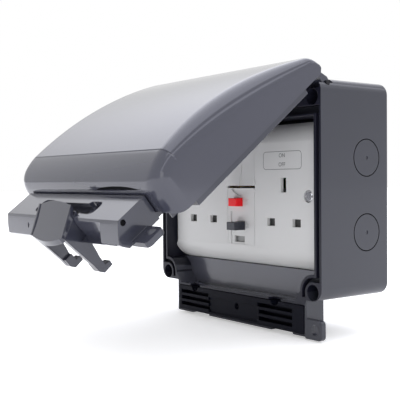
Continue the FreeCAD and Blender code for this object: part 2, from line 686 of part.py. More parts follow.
# Back box
def make_base_box():
    body = new_body("base_box")
    outline = rounded(-box_half, box_half, -box_bottom, box_top, box_corner)
    pad(body, "front", [outline], 0, box_depth)
    fillet(body, box_back_edge, lambda edge: abs(edge.CenterOfMass.y) < 0.01)
    apron = rectangle(-apron_left, apron_right, -apron_low, -box_bottom + box_wall)
    pad(body, "front", [apron], apron_back, apron_depth)
    ear = [
        (apron_right - LAP, -ear_bottom), (ear_reach - ear_corner, -ear_bottom, ear_corner * QUARTER),
        (ear_reach, -ear_bottom + ear_corner),
        (ear_reach, -ear_top - ear_corner, ear_corner * QUARTER),
        (ear_reach - ear_corner, -ear_top), (apron_right - LAP, -ear_top),
    ]
    pad(body, "front", [ear], box_depth - ear_thickness, ear_thickness)
    ear_hole = circle(ear_hole_side, -ear_hole_low, ear_hole_radius)
    pocket(body, "front", [ear_hole], box_depth, ear_thickness + LAP)
    # Opening with the cable pocket below it, round the corner wells
    turn = groove_turn + rib_wall
    wells = well_span / 2
    slope = [
        (pocket_foot, -pocket_floor), (wells - turn, -well_low, -(turn * QUARTER)),
        (wells, -well_low + turn), (opening_half, -well_low + turn), (opening_half, opening_top),
    ]
    left = [(-as_size(x[0]), x[1]) for x in reversed(slope)]
    left[2] = (-wells, -well_low + turn, -(turn * QUARTER))
    pocket(body, "front", [slope + left], box_depth, pocket_depth)
    opening = rectangle(-opening_half, opening_half, opening_bottom, opening_top)
    pocket(body, "front", [opening], box_depth, box_depth - box_wall)
    # Hollow behind the plate
    hollow_length = hollow_front - box_wall
    wide = rectangle(-box_half + box_wall, box_half - box_wall,
                     -hollow_half_height, hollow_half_height)
    pocket(body, "front", [wide], hollow_front, hollow_length)
    tall_half = box_half - hollow_corner
    tall = rectangle(-tall_half, tall_half, -box_bottom + box_wall, box_top - box_wall)
    pocket(body, "front", [tall], hollow_front, hollow_length)
    # Seal groove
    band = seal_band(as_size(0), groove_width, groove_top_width, as_size(0))
    pocket(body, "front", [band], box_depth, groove_depth)
    # Hinge step along the top, with two inner lugs
    step_low = hinge_height - step_floor
    step = rectangle(-groove_outside, groove_outside, step_low, box_top + LAP)
    pocket(body, "front", [step], box_depth, box_depth - hinge_depth + step_back)
    lug_inside = groove_outside - 2 * fit_gap - knuckle_length - fit_gap - lug_width
    lug = rectangle(-hinge_depth - lug_reach, -hinge_depth + lug_reach,
                    step_low - LAP, hinge_height + lug_reach)
    pad(body, "side", [lug], lug_inside, lug_width)
    pad(body, "side", [lug], -lug_inside - lug_width, lug_width)
    pin_hole = circle(-hinge_depth, hinge_height, hinge_pin_radius + pin_gap)
    pocket(body, "side", [pin_hole], 0, 2 * box_half + 2, symmetric=True)
    ledge_top = step_low - ledge_gap
    ledge = rectangle(-tall_half, tall_half, ledge_top - ledge_height, ledge_top)
    pocket(body, "front", [ledge], box_depth, ledge_depth)
    # Corner wells and wall fixing holes
    corners = [(side * wells, height) for side in (-1, 1) for height in (-well_low, well_high)]
    pocket(body, "front", [circle(x, z, well_radius) for x, z in corners],
           box_depth, box_depth - well_floor)
    pocket(body, "front", [circle(x, z, wall_hole_radius) for x, z in corners],
           box_depth, box_depth + LAP)
    # Knockouts
    ring = knockout_radius - knockout_line
    for side in (-1, 1):
        loops = []
        dimples = []
        for height in (knockout_high, -knockout_low):
            loops.append(circle(-knockout_depth, height, knockout_radius))
            loops.append(circle(-knockout_depth, height, ring))
            dimples.append(circle(-knockout_depth, height, dimple_radius))
        pocket(body, "side", loops, side * box_half, knockout_groove, reverse=side < 0)
        pocket(body, "side", dimples, side * box_half, knockout_groove / 2, reverse=side < 0)
    for height, reverse in ((box_top, False), (-box_bottom, True)):
        loops = []
        for side in (-knockout_side, knockout_side):
            loops.append(circle(side, -knockout_depth, knockout_radius))
            loops.append(circle(side, -knockout_depth, ring))
        pocket(body, "top", loops, height, knockout_groove, reverse=reverse)
    # Pillars for the plate's screws
    pillars = [circle(side * fixing_span / 2, plate_middle, pillar_radius) for side in (-1, 1)]
    pillar_front = plate_back - fit_gap
    pad(body, "front", pillars, box_wall - LAP, pillar_front - box_wall + LAP)
    inserts = [circle(side * fixing_span / 2, plate_middle, insert_radius + pin_gap)
               for side in (-1, 1)]
    pocket(body, "front", inserts, pillar_front, insert_length + insert_room)
    # Cable notches above the gate and steps in the apron's lower edge
    notches = []
    steps = []
    for side in (-1, 1):
        middle = side * gate_grid_span / 2
        notches.append(centred(middle, -pocket_floor - apron_wall / 2, wall_notch_width,
                               2 * apron_wall))
        steps.append(rectangle(middle - apron_step_start, middle + gate_grid_width / 2,
                               -apron_low - LAP, -apron_low + apron_step))
    pocket(body, "front", notches, box_depth, wall_notch_depth)
    pocket(body, "front", steps, box_depth, apron_depth + LAP)
    # Gate recess in the apron
    recess = rectangle(-apron_left + apron_wall, apron_right - apron_wall,
                       gate_low - fit_gap, gate_top + fit_gap)
    pocket(body, "front", [recess], box_depth, box_depth - gate_back)
    screw_z = (gate_low + gate_top) / 2
    pilot = circle(gate_screw_side, screw_z, gate_screw_radius + pin_gap)
    pocket(body, "front", [pilot], gate_back, apron_back_wall - pilot_floor)
    return keep(body, "base_box")


def make_perimeter_seal():
    body = new_body("perimeter_seal")
    band = seal_band(seal_gap, groove_width - seal_gap, groove_top_width - seal_gap, as_size(0))
    height = groove_depth - tongue_reach + lid_rim - (box_depth - hinge_depth) - fit_gap
    pad(body, "front", [band], groove_floor, height)
    return keep(body, "perimeter_seal")


def make_cable_gate():
    body = new_body("cable_gate")
    left = -apron_left + apron_wall + fit_gap
    right = apron_right - apron_wall - fit_gap
    front = box_depth + gate_proud
    pad(body, "front", [rectangle(left, right, gate_low, gate_top)], gate_back, front - gate_back)
    slots = []
    for side in (-1, 1):
        for row in range(3):
            height = gate_top - gate_first_slot - row * gate_slot_pitch
            slots.append(centred(side * gate_grid_span / 2, height,
                                 gate_grid_width, gate_slot_height))
    pocket(body, "front", slots, front, gate_slot_depth)
    notches = []
    for side in (-1, 1):
        middle = side * gate_grid_span / 2
        notches.append([
            (middle - gate_notch_radius, gate_top + LAP),
            (middle - gate_notch_radius, gate_top, gate_notch_radius * 0.85),
            (middle + gate_notch_radius, gate_top), (middle + gate_notch_radius, gate_top + LAP),
        ])
    pocket(body, "front", notches, front, gate_slot_depth)
    panel_half_width = (gate_grid_span - gate_grid_width) / 2
    panel = rectangle(-panel_half_width, panel_half_width, gate_low + gate_panel_edge,
                      gate_top - gate_panel_top)
    pocket(body, "front", [panel], front, gate_panel_depth)
    screw_z = (gate_low + gate_top) / 2
    head = circle(gate_screw_side, screw_z, gate_screw_head + fit_gap / 2)
    pocket(body, "front", [head], front, gate_screw_recess)
    shank = circle(gate_screw_side, screw_z, gate_screw_radius + 3 * pin_gap)
    pocket(body, "front", [shank], front, front - gate_back + LAP)
    return keep(body, "cable_gate")


def make_screw(label, x, z, head_front, head_radius, head_height, shank_radius, shank_length):
    """A screw driven along +Y, with its slot to the front."""
    body = new_body(label)
    nothing = as_size(0)
    turned = [
        (-head_height, nothing), (shank_length, nothing), (shank_length, shank_radius * 0.4),
        (shank_length - shank_radius, shank_radius), (nothing, shank_radius),
        (nothing, head_radius), (-head_height * 0.6, head_radius),
        (-head_height, head_radius * 0.8),
    ]
    revolve(body, [turned])
    slot = centred(nothing, nothing, 3 * head_radius, screw_slot)
    pocket(body, "front", [slot], head_height, head_height * 0.5)
    place(body, x, -head_front + head_height, z)
    return keep(body, label)


def make_rod(label, radius, left, length, y, z):
    """A plain round pin along X."""
    body = new_body(label)
    pad(body, "side", [circle(y, z, radius)], left, length)
    return body


def make_hinge_pins():
    length = groove_outside + skirt / 2 - lug_start()
    for label, left in (("hinge_pin_right", lug_start()),
                        ("hinge_pin_left", -lug_start() - length)):
        body = make_rod(label, hinge_pin_radius, left, length, -hinge_depth, hinge_height)
        keep(body, label)


def lug_start():
    """Inner side of the right inner hinge lug."""
    return groove_outside - 3 * fit_gap - knuckle_length - lug_width


def make_inserts():
    front = plate_back - fit_gap
    for label, side in (("insert_left", -1), ("insert_right", 1)):
        body = new_body(label)
        x = side * fixing_span / 2
        ring = [circle(x, plate_middle, insert_radius),
                circle(x, plate_middle, screw_radius + pin_gap)]
        pad(body, "front", ring, front - insert_length, insert_length)
        keep(body, label)


# Lid, drawn shut with the hinge axis at the origin.
# Shares of the way from its hinge end to its crease, each with its share of the edge rounding.
LID_SCREWS = (0.2, 0.87)
LID_EDGES = ((-0.054, 0.3), (0.08, 0.55), (0.22, 0.8), (0.45, 1), (0.7, 0.95), (0.88, 0.82),
             (1, 0.7))


def down_out(down, out, *bulge):
    """A point of the lid's side view: down from the hinge axis and out from it."""
    return (-as_size(out), -as_size(down)) + bulge


def loft(body, sections, ruled, cut=False):
    """Join cross sections, each a depth down the lid and an outline seen from above."""
    sketches = [new_sketch(body, "top", [outline], -as_size(down)) for down, outline in sections]
    kind = "PartDesign::SubtractiveLoft" if cut else "PartDesign::AdditiveLoft"
    feature = body.newObject(kind, "loft")
    feature.Profile = sketches[0]
    feature.Sections = sketches[1:]
    feature.Ruled = ruled
    doc.recompute()
    return feature


def lid_screw_down(share):
    """Place of a pair of lid screws down the lid."""
    return lid_back_down + (lid_crease_down - lid_back_down) * share


def lid_section(half, low, top, radius):
    """A cross section of the lid, round at its two upper corners."""
    bulge = radius * QUARTER
    return [
        (half, -low), (-half, -low), (-half, -top + radius, bulge), (-half + radius, -top),
        (half - radius, -top, bulge), (half, -top + radius),
    ]


def lid_top(share):
    """Height of the crowned top at a share of its length from the hinge end."""
    crown = lid_crown * (1 - (2 * share - 1) ** 2)
    return lid_back_out + (lid_crease_out - lid_back_out) * share + crown


def lid_sections(inset, low):
    """The lid's crowned top from the hinge end to the crease."""
    sections = []
    length = lid_crease_down - lid_back_down
    for share, factor in LID_EDGES:
        outline = lid_section(box_half - inset, as_size(low), lid_top(share) - inset,
                              (lid_edge - inset * 0.8) * factor)
        sections.append((lid_back_down + length * share, outline))
    return sections


def nose_turn(down, inset):
    """How far the band's side lies inside the lid's side, at a distance down the lid."""
    radius = lid_nose_corner - inset
    past = down - (lid_nose_down + 0.5 - lid_nose_corner)
    if past.value <= 0:
        return as_size(0)
    return radius - root(radius * radius - past * past)


def band_sections():
    """Cross sections of the band, measured from the crease to the nose."""
    rise = lid_crease_out - lid_nose_out
    run = lid_nose_down - lid_crease_down
    sections = []
    for share, height, low, edge in (
            (0, 1, 0, 0.7), (0.36, 0.953, 0, 0.67), (0.646, 0.772, 0.2, 0.63),
            (0.857, 0.457, 1.4, 0.58), (1, 0, 4, 0.46)):
        down = lid_crease_down + run * share
        turn = nose_turn(down, 0)
        sections.append((down, lid_section(box_half - turn, lid_rim + low,
                                           lid_nose_out + rise * height, lid_edge * edge)))
    end = lid_section(box_half - nose_turn(lid_nose_down, 0) - 1.6, lid_rim + 5.3,
                      lid_nose_out - 5, lid_edge * 0.2)
    sections.append((lid_nose_down + 0.4, end))
    return sections


def band_hollow(low):
    """Cross sections of the hollow behind the band."""
    rise = lid_crease_out - lid_nose_out
    run = lid_nose_down - lid_crease_down
    sections = []
    for share, height, drop, edge in (
            (0, 1, 2, 0.53), (0.3, 0.965, 2.1, 0.5), (0.6, 0.82, 2.6, 0.44),
            (0.771, 0.62, 3.4, 0.38), (0.886, 0.4, 5.1, 0.3)):
        down = lid_crease_down + run * share
        turn = nose_turn(down, lid_wall)
        half = box_half - lid_wall - turn
        top = lid_nose_out + rise * height - drop
        sections.append((down, lid_section(half, low, top, lid_edge * edge)))
    return sections


def make_lid_cover():
    body = new_body("lid_cover")
    loft(body, lid_sections(as_size(0), lid_rim), False)
    # Rounded band from the crease over the nose, turning in at its two corners
    loft(body, band_sections(), False)
    below = lid_rim - 2
    hollow = lid_sections(lid_wall, below)
    hollow[0] = (lid_back_down - 1.9, hollow[0][1])
    loft(body, hollow, False, cut=True)
    loft(body, band_hollow(below), True, cut=True)
    hinge_end = [
        down_out(lid_back_start, lid_rim - LAP), down_out(lid_back_start, lid_rim),
        down_out(0, lid_rim + lid_back_lip), down_out(lid_back_foot, lid_back_out - lid_back_face,
                                                        lid_back_bulge),
        down_out(lid_back_down, lid_back_out), down_out(-4 * LAP, lid_back_out + 2 * LAP),
        down_out(-4 * LAP, lid_rim - LAP),
    ]
    pocket(body, "side", [hinge_end], 0, 2 * box_half + 2, symmetric=True)
    # Screw bosses inside, notches for the knuckles and for the frame's neck
    flange_front = lid_rim + flange_back + flange_thickness
    for share in LID_SCREWS:
        down = lid_screw_down(share)
        bosses = [circle(side * lid_screw_side, -down, lid_boss_radius) for side in (-1, 1)]
        pad(body, "front", bosses, flange_front + 0.2, lid_top(share) - flange_front - lid_boss_cover)
        pilots = [circle(side * lid_screw_side, -down, lid_screw_radius + pin_gap)
                  for side in (-1, 1)]
        pocket(body, "front", pilots, flange_front + 0.1, lid_pilot_depth, reverse=True)
    knuckle_out = groove_outside - 2 * fit_gap
    gap = 2 * fit_gap
    notches = [rectangle(side[0], side[1], -8, notch_end) for side in (
        (knuckle_out - knuckle_length - gap, knuckle_out + gap),
        (-knuckle_out - gap, -knuckle_out + knuckle_length + gap))]
    pocket(body, "front", notches, lid_rim - LAP, notch_height, reverse=True)
    neck_half = housing_half - neck_inset + 2 * fit_gap
    neck = rectangle(-neck_half, neck_half, -lid_length - 2 * LAP, -lid_length + 12)
    pocket(body, "front", [neck], lid_rim - LAP, neck_height, reverse=True)
    # Slim grip slot in the band's lower edge
    grip = [(grip_start, -lid_length - 0.6), (grip_end, -lid_length - 0.6, grip_height)]
    pocket(body, "front", [grip], lid_crease_out, lid_crease_out - lid_rim - 5.4)
    on_lid(body)
    return keep(body, "lid_cover")


def make_lid_frame():
    body = new_body("lid_frame")
    inside = box_half - lid_wall - fit_gap
    flange_start = lid_rim + flange_back
    outer = rounded(-inside, inside, -lid_length + 6, -flange_start_down,
                    lid_nose_corner - lid_wall)
    inner = rounded(-flange_inner, flange_inner, -lid_crease_down + flange_open_edge,
                    -flange_open_down, flange_corner)
    pad(body, "front", [outer, inner], flange_start, flange_thickness)
    band = seal_band(fit_gap, fit_gap + tongue_wall, fit_gap + tongue_wall, -hinge_height)
    tongue_start = lid_rim - tongue_reach
    pad(body, "front", [band], tongue_start, tongue_reach + flange_back + 0.5)
    neck_half = housing_half - neck_inset
    neck = rectangle(-neck_half, neck_half, -housing_top - LAP, -lid_crease_down + LAP)
    pad(body, "front", [neck], lid_rim + 0.2, neck_height - 1 - 2 * fit_gap)
    side_view = [
        down_out(housing_top, housing_back), down_out(housing_top, housing_front),
        down_out(housing_corner, housing_front, 0.4), down_out(housing_low, housing_heel, 0.3),
        down_out(housing_low - housing_rise, housing_back),
    ]
    pad(body, "side", [side_view], 0, 2 * housing_half, symmetric=True)
    # Padlock ear beside the housing
    ear_low = -hinge_height - ear_bottom - lid_ear_low
    ear_high = -hinge_height - ear_top - lid_ear_top
    corner = ear_corner * QUARTER
    ear = [
        (housing_half - LAP, ear_low), (ear_reach - ear_corner, ear_low, corner),
        (ear_reach, ear_low + ear_corner), (ear_reach, ear_high - ear_corner, corner),
        (ear_reach - ear_corner, ear_high), (housing_half - LAP, ear_high),
    ]
    ear_start = housing_back - 1
    pad(body, "front", [ear], ear_start, ear_thickness)
    ear_hole = circle(ear_hole_side, -hinge_height - ear_hole_low, ear_hole_radius)
    pocket(body, "front", [ear_hole], ear_start + ear_thickness, ear_thickness + LAP)
    # Recess for the latch, open to the front, below and behind
    recess = [
        down_out(housing_low + 3, housing_front + 3),
        down_out(latch_down - recess_above, housing_front + 3),
        down_out(latch_down - recess_above, latch_out - recess_behind),
        down_out(latch_down - recess_behind, latch_out - recess_behind),
        down_out(latch_down - recess_behind, lid_rim - 3), down_out(housing_low + 3, lid_rim - 3),
    ]
    recess = list(reversed(recess))
    pocket(body, "side", [recess], 0, 2 * (latch_half + latch_side_gap), symmetric=True)
    # Hollows behind the housing's two cheeks
    cheek = scoop_reach + housing_wall
    hollows = [rectangle(side[0], side[1], -housing_corner + 0.4, -housing_top - housing_wall)
               for side in ((cheek, housing_half - housing_wall),
                            (-housing_half + housing_wall, -cheek))]
    pocket(body, "front", hollows, housing_front - housing_wall, housing_front)
    pin_hole = circle(-latch_out, -latch_down, latch_pin_radius + pin_gap)
    pocket(body, "side", [pin_hole], 0, 2 * housing_half + 2, symmetric=True)
    # Finger scoops beside the lever, step in the slope below the right one
    beside = latch_half + latch_side_gap - 1
    scoops = [rounded(beside, scoop_reach, -scoop_low, -scoop_top, 3.6),
              rounded(-scoop_reach, -beside, -scoop_low, -scoop_top, 3.6)]
    pocket(body, "front", scoops, housing_front, scoop_depth)
    step = rectangle(beside, slope_step, -housing_low - 1, -housing_corner - 1)
    pocket(body, "front", [step], housing_front, housing_front - housing_back - slope_floor)
    drain = circle(-drain_side, -housing_corner - drain_down, drain_radius)
    pocket(body, "front", [drain], housing_front, housing_front - housing_back - housing_wall)
    # Knuckles on the hinge axis
    knuckle = [
        down_out(knuckle_radius, 0), down_out(0, -knuckle_radius), down_out(-knuckle_radius, 0),
        down_out(-knuckle_radius, 2.4), down_out(2.6, flange_start + flange_thickness),
        down_out(9, flange_start + flange_thickness), down_out(9, lid_rim + 0.2),
        down_out(knuckle_radius, lid_rim - 0.3),
    ]
    bulge = knuckle_radius * QUARTER
    knuckle[0] = down_out(knuckle_radius, 0, bulge)
    knuckle[1] = down_out(0, -knuckle_radius, bulge)
    start = groove_outside - 2 * fit_gap - knuckle_length
    pad(body, "side", [knuckle], start, knuckle_length)
    pad(body, "side", [knuckle], -start - knuckle_length, knuckle_length)
    axis_hole = circle(as_size(0), as_size(0), hinge_pin_radius + pin_gap)
    pocket(body, "side", [axis_hole], 0, 2 * box_half + 2, symmetric=True)
    # Holes for the lid screws
    holes = [circle(side * lid_screw_side, -lid_screw_down(share), lid_screw_radius + 3 * pin_gap)
             for side in (-1, 1) for share in LID_SCREWS]
    pocket(body, "front", holes, flange_start + flange_thickness + 1, flange_thickness + 2)
    on_lid(body)
    return keep(body, "lid_frame")


def small_heads(body, spots, front):
    """Slotted heads of screws that are driven from behind."""
    heads = [circle(x, z, small_head_radius) for x, z in spots]
    pad(body, "front", heads, front - small_head_height, small_head_height)
    slots = [centred(x, z, small_slot_length, small_slot_width) for x, z in spots]
    pocket(body, "front", slots, front - small_head_height - LAP, LAP + small_head_height * 0.4,
           reverse=True)


def make_lid_screws():
    """Four screws, driven from behind the flange into the cover."""
    start = lid_rim + flange_back
    body = new_body("lid_screws")
    body.AllowCompound = True
    spots = [(side * lid_screw_side, -lid_screw_down(share)) for side in (-1, 1)
             for share in LID_SCREWS]
    pad(body, "front", [circle(x, z, lid_screw_radius) for x, z in spots], start,
        lid_screw_length)
    small_heads(body, spots, start)
    on_lid(body)
    return keep(body, "lid_screws")


def make_latch():
    body = new_body("latch")
    half = latch_half - 0.3
    top = latch_down - lever_above
    foot = latch_down + lever_below
    corner = lever_corner * 0.28
    side_top = -top - 1.3 - lever_corner
    side_foot = -foot + 1.7 + lever_corner
    outline = [
        (-half + lever_corner, -foot + 1.6, 1.6), (half - lever_corner, -foot + 1.6, corner),
        (half, side_foot, -0.7), (half, side_top, corner),
        (half - lever_corner, -top - 1.3, 1.3), (-half + lever_corner, -top - 1.3, corner),
        (-half, side_top, -0.7), (-half, side_foot, corner),
    ]
    pad(body, "front", [outline], latch_out - 9, 24)
    # Front and back of the sloping lever plate
    upper = latch_out + lever_front
    lower = latch_out - lever_foot
    run = foot - top
    drop = upper - lower
    over = 0.3
    front = [
        down_out(top - run * over, upper + drop * over), down_out(top - run * over, upper + 20),
        down_out(foot + run * over, upper + 20),
        down_out(foot + run * over, lower - drop * over, 1.1),
    ]
    pocket(body, "side", [front], 0, 2 * latch_half + 2, symmetric=True)
    inward = lever_thickness * 0.832
    upward = lever_thickness * 0.553
    back = [
        down_out(top - upward - run * over, upper - inward + drop * over),
        down_out(foot - upward + run * over, lower - inward - drop * over),
        down_out(foot + run * over, latch_out - 12),
        down_out(top - upward - run * over, latch_out - 12),
    ]
    pocket(body, "side", [back], 0, 2 * latch_half + 2, symmetric=True)
    knuckle = [circle(-latch_out, -latch_down, latch_pin_radius + 1.7)]
    pad(body, "side", knuckle, 0, 2 * (arm_inner + 1), symmetric=True)
    skirt_side = [
        down_out(latch_down - 2, latch_out + 8.4), down_out(latch_down + 13.2, latch_out - 1.8),
        down_out(latch_down + 12, latch_out - 2.9), down_out(latch_down + 4.6, latch_out - 0.5),
        down_out(latch_down - 1.9, latch_out + 6),
    ]
    arm = [
        down_out(latch_down - 1.8, latch_out + 4.2), down_out(latch_down + 12.5, latch_out - 3.2),
        down_out(latch_down + 8.2, -5), down_out(latch_down + 7.7, -9.5),
        down_out(latch_down + 5.7, -12), down_out(latch_down - 0.6, -11.6),
        down_out(latch_down - 0.7, -8.9), down_out(latch_down + 2.7, -8.7),
        down_out(latch_down + 2.7, -3), down_out(latch_down + 2.3, -1),
        down_out(latch_down + 1.5, 6), down_out(latch_down + 0.9, 12),
    ]
    hook = [
        down_out(latch_down + 8, -4.4), down_out(latch_down + 7.7, -9.5),
        down_out(latch_down + 5.7, -12), down_out(latch_down - 0.6, -11.6),
        down_out(latch_down - 0.7, -8.9), down_out(latch_down + 2.7, -8.7),
        down_out(latch_down + 2.7, -4.4),
    ]
    outside = arm_inner + arm_width
    for side in (-1, 1):
        for profile, inner, outer in ((skirt_side, outside - 2.2, outside - 0.8),
                                      (arm, arm_inner, outside), (hook, hook_inner, outside)):
            left = inner if side > 0 else -outer
            pad(body, "side", [profile], left, outer - inner)
    bore = [circle(-latch_out, -latch_down, latch_pin_radius + pin_gap)]
    pocket(body, "side", bore, 0, 2 * latch_half + 2, symmetric=True)
    on_lid(body)
    return keep(body, "latch")


def make_latch_pin():
    half = housing_half - pin_recess
    body = make_rod("latch_pin", latch_pin_radius, -half, 2 * half, -latch_out, -latch_down)
    on_lid(body)
    return keep(body, "latch_pin")


# Socket plate
def pin_slots(grow):
    """Live, neutral and earth slots of both sockets."""
    slots = []
    for side in (-1, 1):
        middle = side * socket_span / 2
        slots.append(centred(middle, earth_z, earth_slot_width + grow, earth_slot_height + grow))
        for pin in (-1, 1):
            slots.append(centred(middle + pin * pin_span / 2, live_z,
                                 live_slot_width + grow, live_slot_height + grow))
    return slots


def make_socket_plate():
    body = new_body("socket_plate")
    half = plate_height / 2
    flat = plate_flat / 2
    curve = (plate_height - plate_flat) / 2
    side_view = [
        (-plate_back, plate_middle - half), (-plate_back, plate_middle + half),
        (-plate_back - plate_rim, plate_middle + half, curve * 0.13),
        (-plate_face, plate_middle + flat), (-plate_face, plate_middle - flat, curve * 0.13),
        (-plate_back - plate_rim, plate_middle - half),
    ]
    pad(body, "side", [side_view], 0, plate_width, symmetric=True)

    def corner(edge):
        middle = edge.CenterOfMass
        return near(abs(middle.x), plate_width / 2) and near(abs(middle.z + num(plate_drop)), half)

    fillet(body, plate_corner, corner)
    fillet(body, plate_edge, lambda edge: near(abs(edge.CenterOfMass.x), plate_width / 2)
           and near(edge.CenterOfMass.y, -plate_face))
    inner_x = plate_width / 2 - plate_wall
    inner_z = half - plate_wall
    low = plate_middle - inner_z
    high = plate_middle + inner_z
    shallow = rounded(-inner_x, inner_x, low, high, plate_corner - plate_wall)
    pocket(body, "front", [shallow], plate_back, plate_rim - 0.2, reverse=True)
    deep_low = plate_middle - tray_low - 1
    deep_high = plate_middle + tray_high + 1
    deep = rounded(-inner_x + 1, inner_x - 1, deep_low, deep_high, plate_corner - plate_wall)
    pocket(body, "front", [deep], plate_back, plate_depth - plate_wall, reverse=True)
    # Screw bosses and holes
    spots = [(side * fixing_span / 2, plate_middle) for side in (-1, 1)]
    pad(body, "front", [circle(x, z, plate_boss_radius) for x, z in spots], plate_back + 0.3,
        plate_depth - plate_wall)
    pocket(body, "front", [circle(x, z, screw_radius + 3 * pin_gap) for x, z in spots],
           plate_face, plate_depth + 1)
    pocket(body, "front", [circle(x, z, screw_head_radius + fit_gap) for x, z in spots],
           plate_face, screw_head_height + 0.1)
    pocket(body, "front", pin_slots(as_size(0)), plate_face, plate_wall + LAP)
    # Centre panel: rockers, buttons and the flag window
    rocker_half = rocker_width + rocker_gap / 2 + fit_gap
    swing = rocker_height / 2 + 1.1
    openings = [
        rectangle(-rocker_half, rocker_half, rocker_z - swing, rocker_z + swing),
        centred(-test_side, test_z, test_width + 0.4, button_height + 0.4),
        centred(-reset_side, reset_z, reset_width + 0.4, button_height + 0.4),
        centred(-window_side, window_z, window_width, window_height),
    ]
    panel = rectangle(-panel_half + panel_left_inset, panel_half - panel_right_inset,
                      window_z - 3.2, reset_z + 9)
    pocket(body, "front", [panel], plate_face, panel_depth)
    line = panel_line
    panel_low = plate_middle - plate_flat / 2 + 1
    panel_high = plate_middle + panel_rise
    frame = [
        rectangle(-panel_half, panel_half, panel_low, panel_high),
        rectangle(-panel_half + line, panel_half - line, panel_low + line, panel_high - line),
    ]
    pocket(body, "front", frame, plate_face, panel_line)
    side = panel_half - thumb_inset
    edge = rocker_z - swing - 0.4
    hollow = [
        (-side, edge), (-side, edge - 0.2, thumb_sag), (side, edge - 0.2), (side, edge),
    ]
    pocket(body, "front", [hollow], plate_face, thumb_depth)
    pocket(body, "front", openings, plate_face, plate_wall + LAP)
    # Lugs that hold the rocker axle
    lug = rectangle(-plate_inside - 0.5, -rocker_axis + 3, rocker_z - 3, rocker_z + 3)
    lug_left = rocker_half + 0.4
    pad(body, "side", [lug], lug_left, 2)
    pad(body, "side", [lug], -lug_left - 2, 2)
    axle_hole = circle(-rocker_axis, rocker_z, axle_radius + pin_gap)
    pocket(body, "side", [axle_hole], 0, 2 * lug_left + 5, symmetric=True)
    # Bosses for the tray's screws
    posts = [circle(side * housing_screw_side, post_z(), post_radius) for side in (-1, 1)]
    pad(body, "front", posts, plate_back + 3.2, plate_depth - plate_wall - 2.8)
    pilots = [circle(side * housing_screw_side, post_z(), post_hole_radius)
              for side in (-1, 1)]
    pocket(body, "front", pilots, plate_back + 2, 5, reverse=True)
    return keep(body, "socket_plate")


def post_z():
    """Height of the two screws that hold the tray."""
    return plate_middle + tray_high - post_drop


def make_rocker(label, left):
    body = new_body(label)
    half = rocker_height / 2
    side_view = [
        (-rocker_front, half, -rocker_dish), (-rocker_front, -half),
        (rocker_end - rocker_front, -half), (rocker_back, -half * 0.7),
        (rocker_back, half * 0.7), (rocker_end - rocker_front, half),
    ]
    pad(body, "side", [side_view], left, rocker_width)
    bore = circle(as_size(0), as_size(0), axle_radius + pin_gap)
    pocket(body, "side", [bore], 0, 4 * rocker_width, symmetric=True)
    place(body, 0, -rocker_axis, rocker_z, Vector(-1, 0, 0), rocker_tilt)
    return keep(body, label)


def make_rockers():
    make_rocker("rocker_right", rocker_gap / 2)
    make_rocker("rocker_left", -rocker_gap / 2 - rocker_width)
    half = rocker_width + rocker_gap / 2 + axle_past
    body = make_rod("rocker_axle", axle_radius, -half, 2 * half, -rocker_axis, rocker_z)
    keep(body, "rocker_axle")


def make_button(label, x, z, width, proud):
    body = new_body(label)
    flange_front = plate_inside - fit_gap
    cap = centred(x, z, width, button_height)
    pad(body, "front", [cap], flange_front - 0.2, plate_face + proud - flange_front + 0.2)
    fillet(body, button_edge, lambda edge: near(edge.CenterOfMass.y, -(plate_face + proud)))
    flange = centred(x, z, width + 2 * button_flange, button_height + 2 * button_flange)
    flange_back_depth = flange_front - button_flange_depth
    pad(body, "front", [flange], flange_back_depth, button_flange_depth)
    pad(body, "front", [circle(x, z, stem_radius)], flange_back_depth - stem_length,
        stem_length + 0.2)
    return keep(body, label)


def make_spring(label, x, y, z, radius, length, turns, upright):
    """A round wire helix standing on its end."""
    helix = doc.addObject("Part::Helix", label + "_path")
    free = length - 2 * spring_wire
    bind(helix, "Radius", radius)
    bind(helix, "Pitch", free / turns)
    bind(helix, "Height", free)
    wire = doc.addObject("Part::Circle", label + "_wire")
    bind(wire, "Radius", spring_wire)
    wire.Placement = Placement(Vector(num(radius), 0, 0), Rotation(Vector(1, 0, 0), 90))
    bind(wire, ".Placement.Base.x", radius)
    sweep = doc.addObject("Part::Sweep", label)
    sweep.Sections = [wire]
    sweep.Spine = (helix, ["Edge1"])
    sweep.Solid = True
    sweep.Frenet = True
    doc.recompute()
    if upright:
        place(sweep, x, y, z + spring_wire, Vector(0, 0, 1), 0)
    else:
        place(sweep, x, y - spring_wire, z, Vector(1, 0, 0), 90)
    return keep(sweep, label)


def make_button_springs():
    back = plate_inside - fit_gap - button_flange_depth
    length = back - board_front
    for label, x, z in (("test_spring", -test_side, test_z), ("reset_spring", -reset_side, reset_z)):
        carriage = carriage_thickness if label == "reset_spring" else as_size(0)
        make_spring(label, x, -board_front, z, button_spring_radius, length - carriage,
                    button_turns, False)


def make_contact_carriage():
    """Carries the flag behind the window and hangs on the reset button's stem."""
    body = new_body("contact_carriage")
    front = plate_inside - fit_gap - button_flange_depth
    back = front - carriage_thickness
    plate = rectangle(-window_side - window_width / 2 - 1, -window_side + window_width / 2 + 1,
                      window_z - 3.6, reset_z + 3.4)
    pad(body, "front", [plate], back, carriage_thickness)
    flag = centred(-window_side, window_z - 0.3, window_width + 1, 4.6)
    pad(body, "front", [flag], front - 0.2, 1.2)
    hole = circle(-reset_side, reset_z, stem_radius + pin_gap)
    pocket(body, "front", [hole], front + 1, 4)
    return keep(body, "contact_carriage")


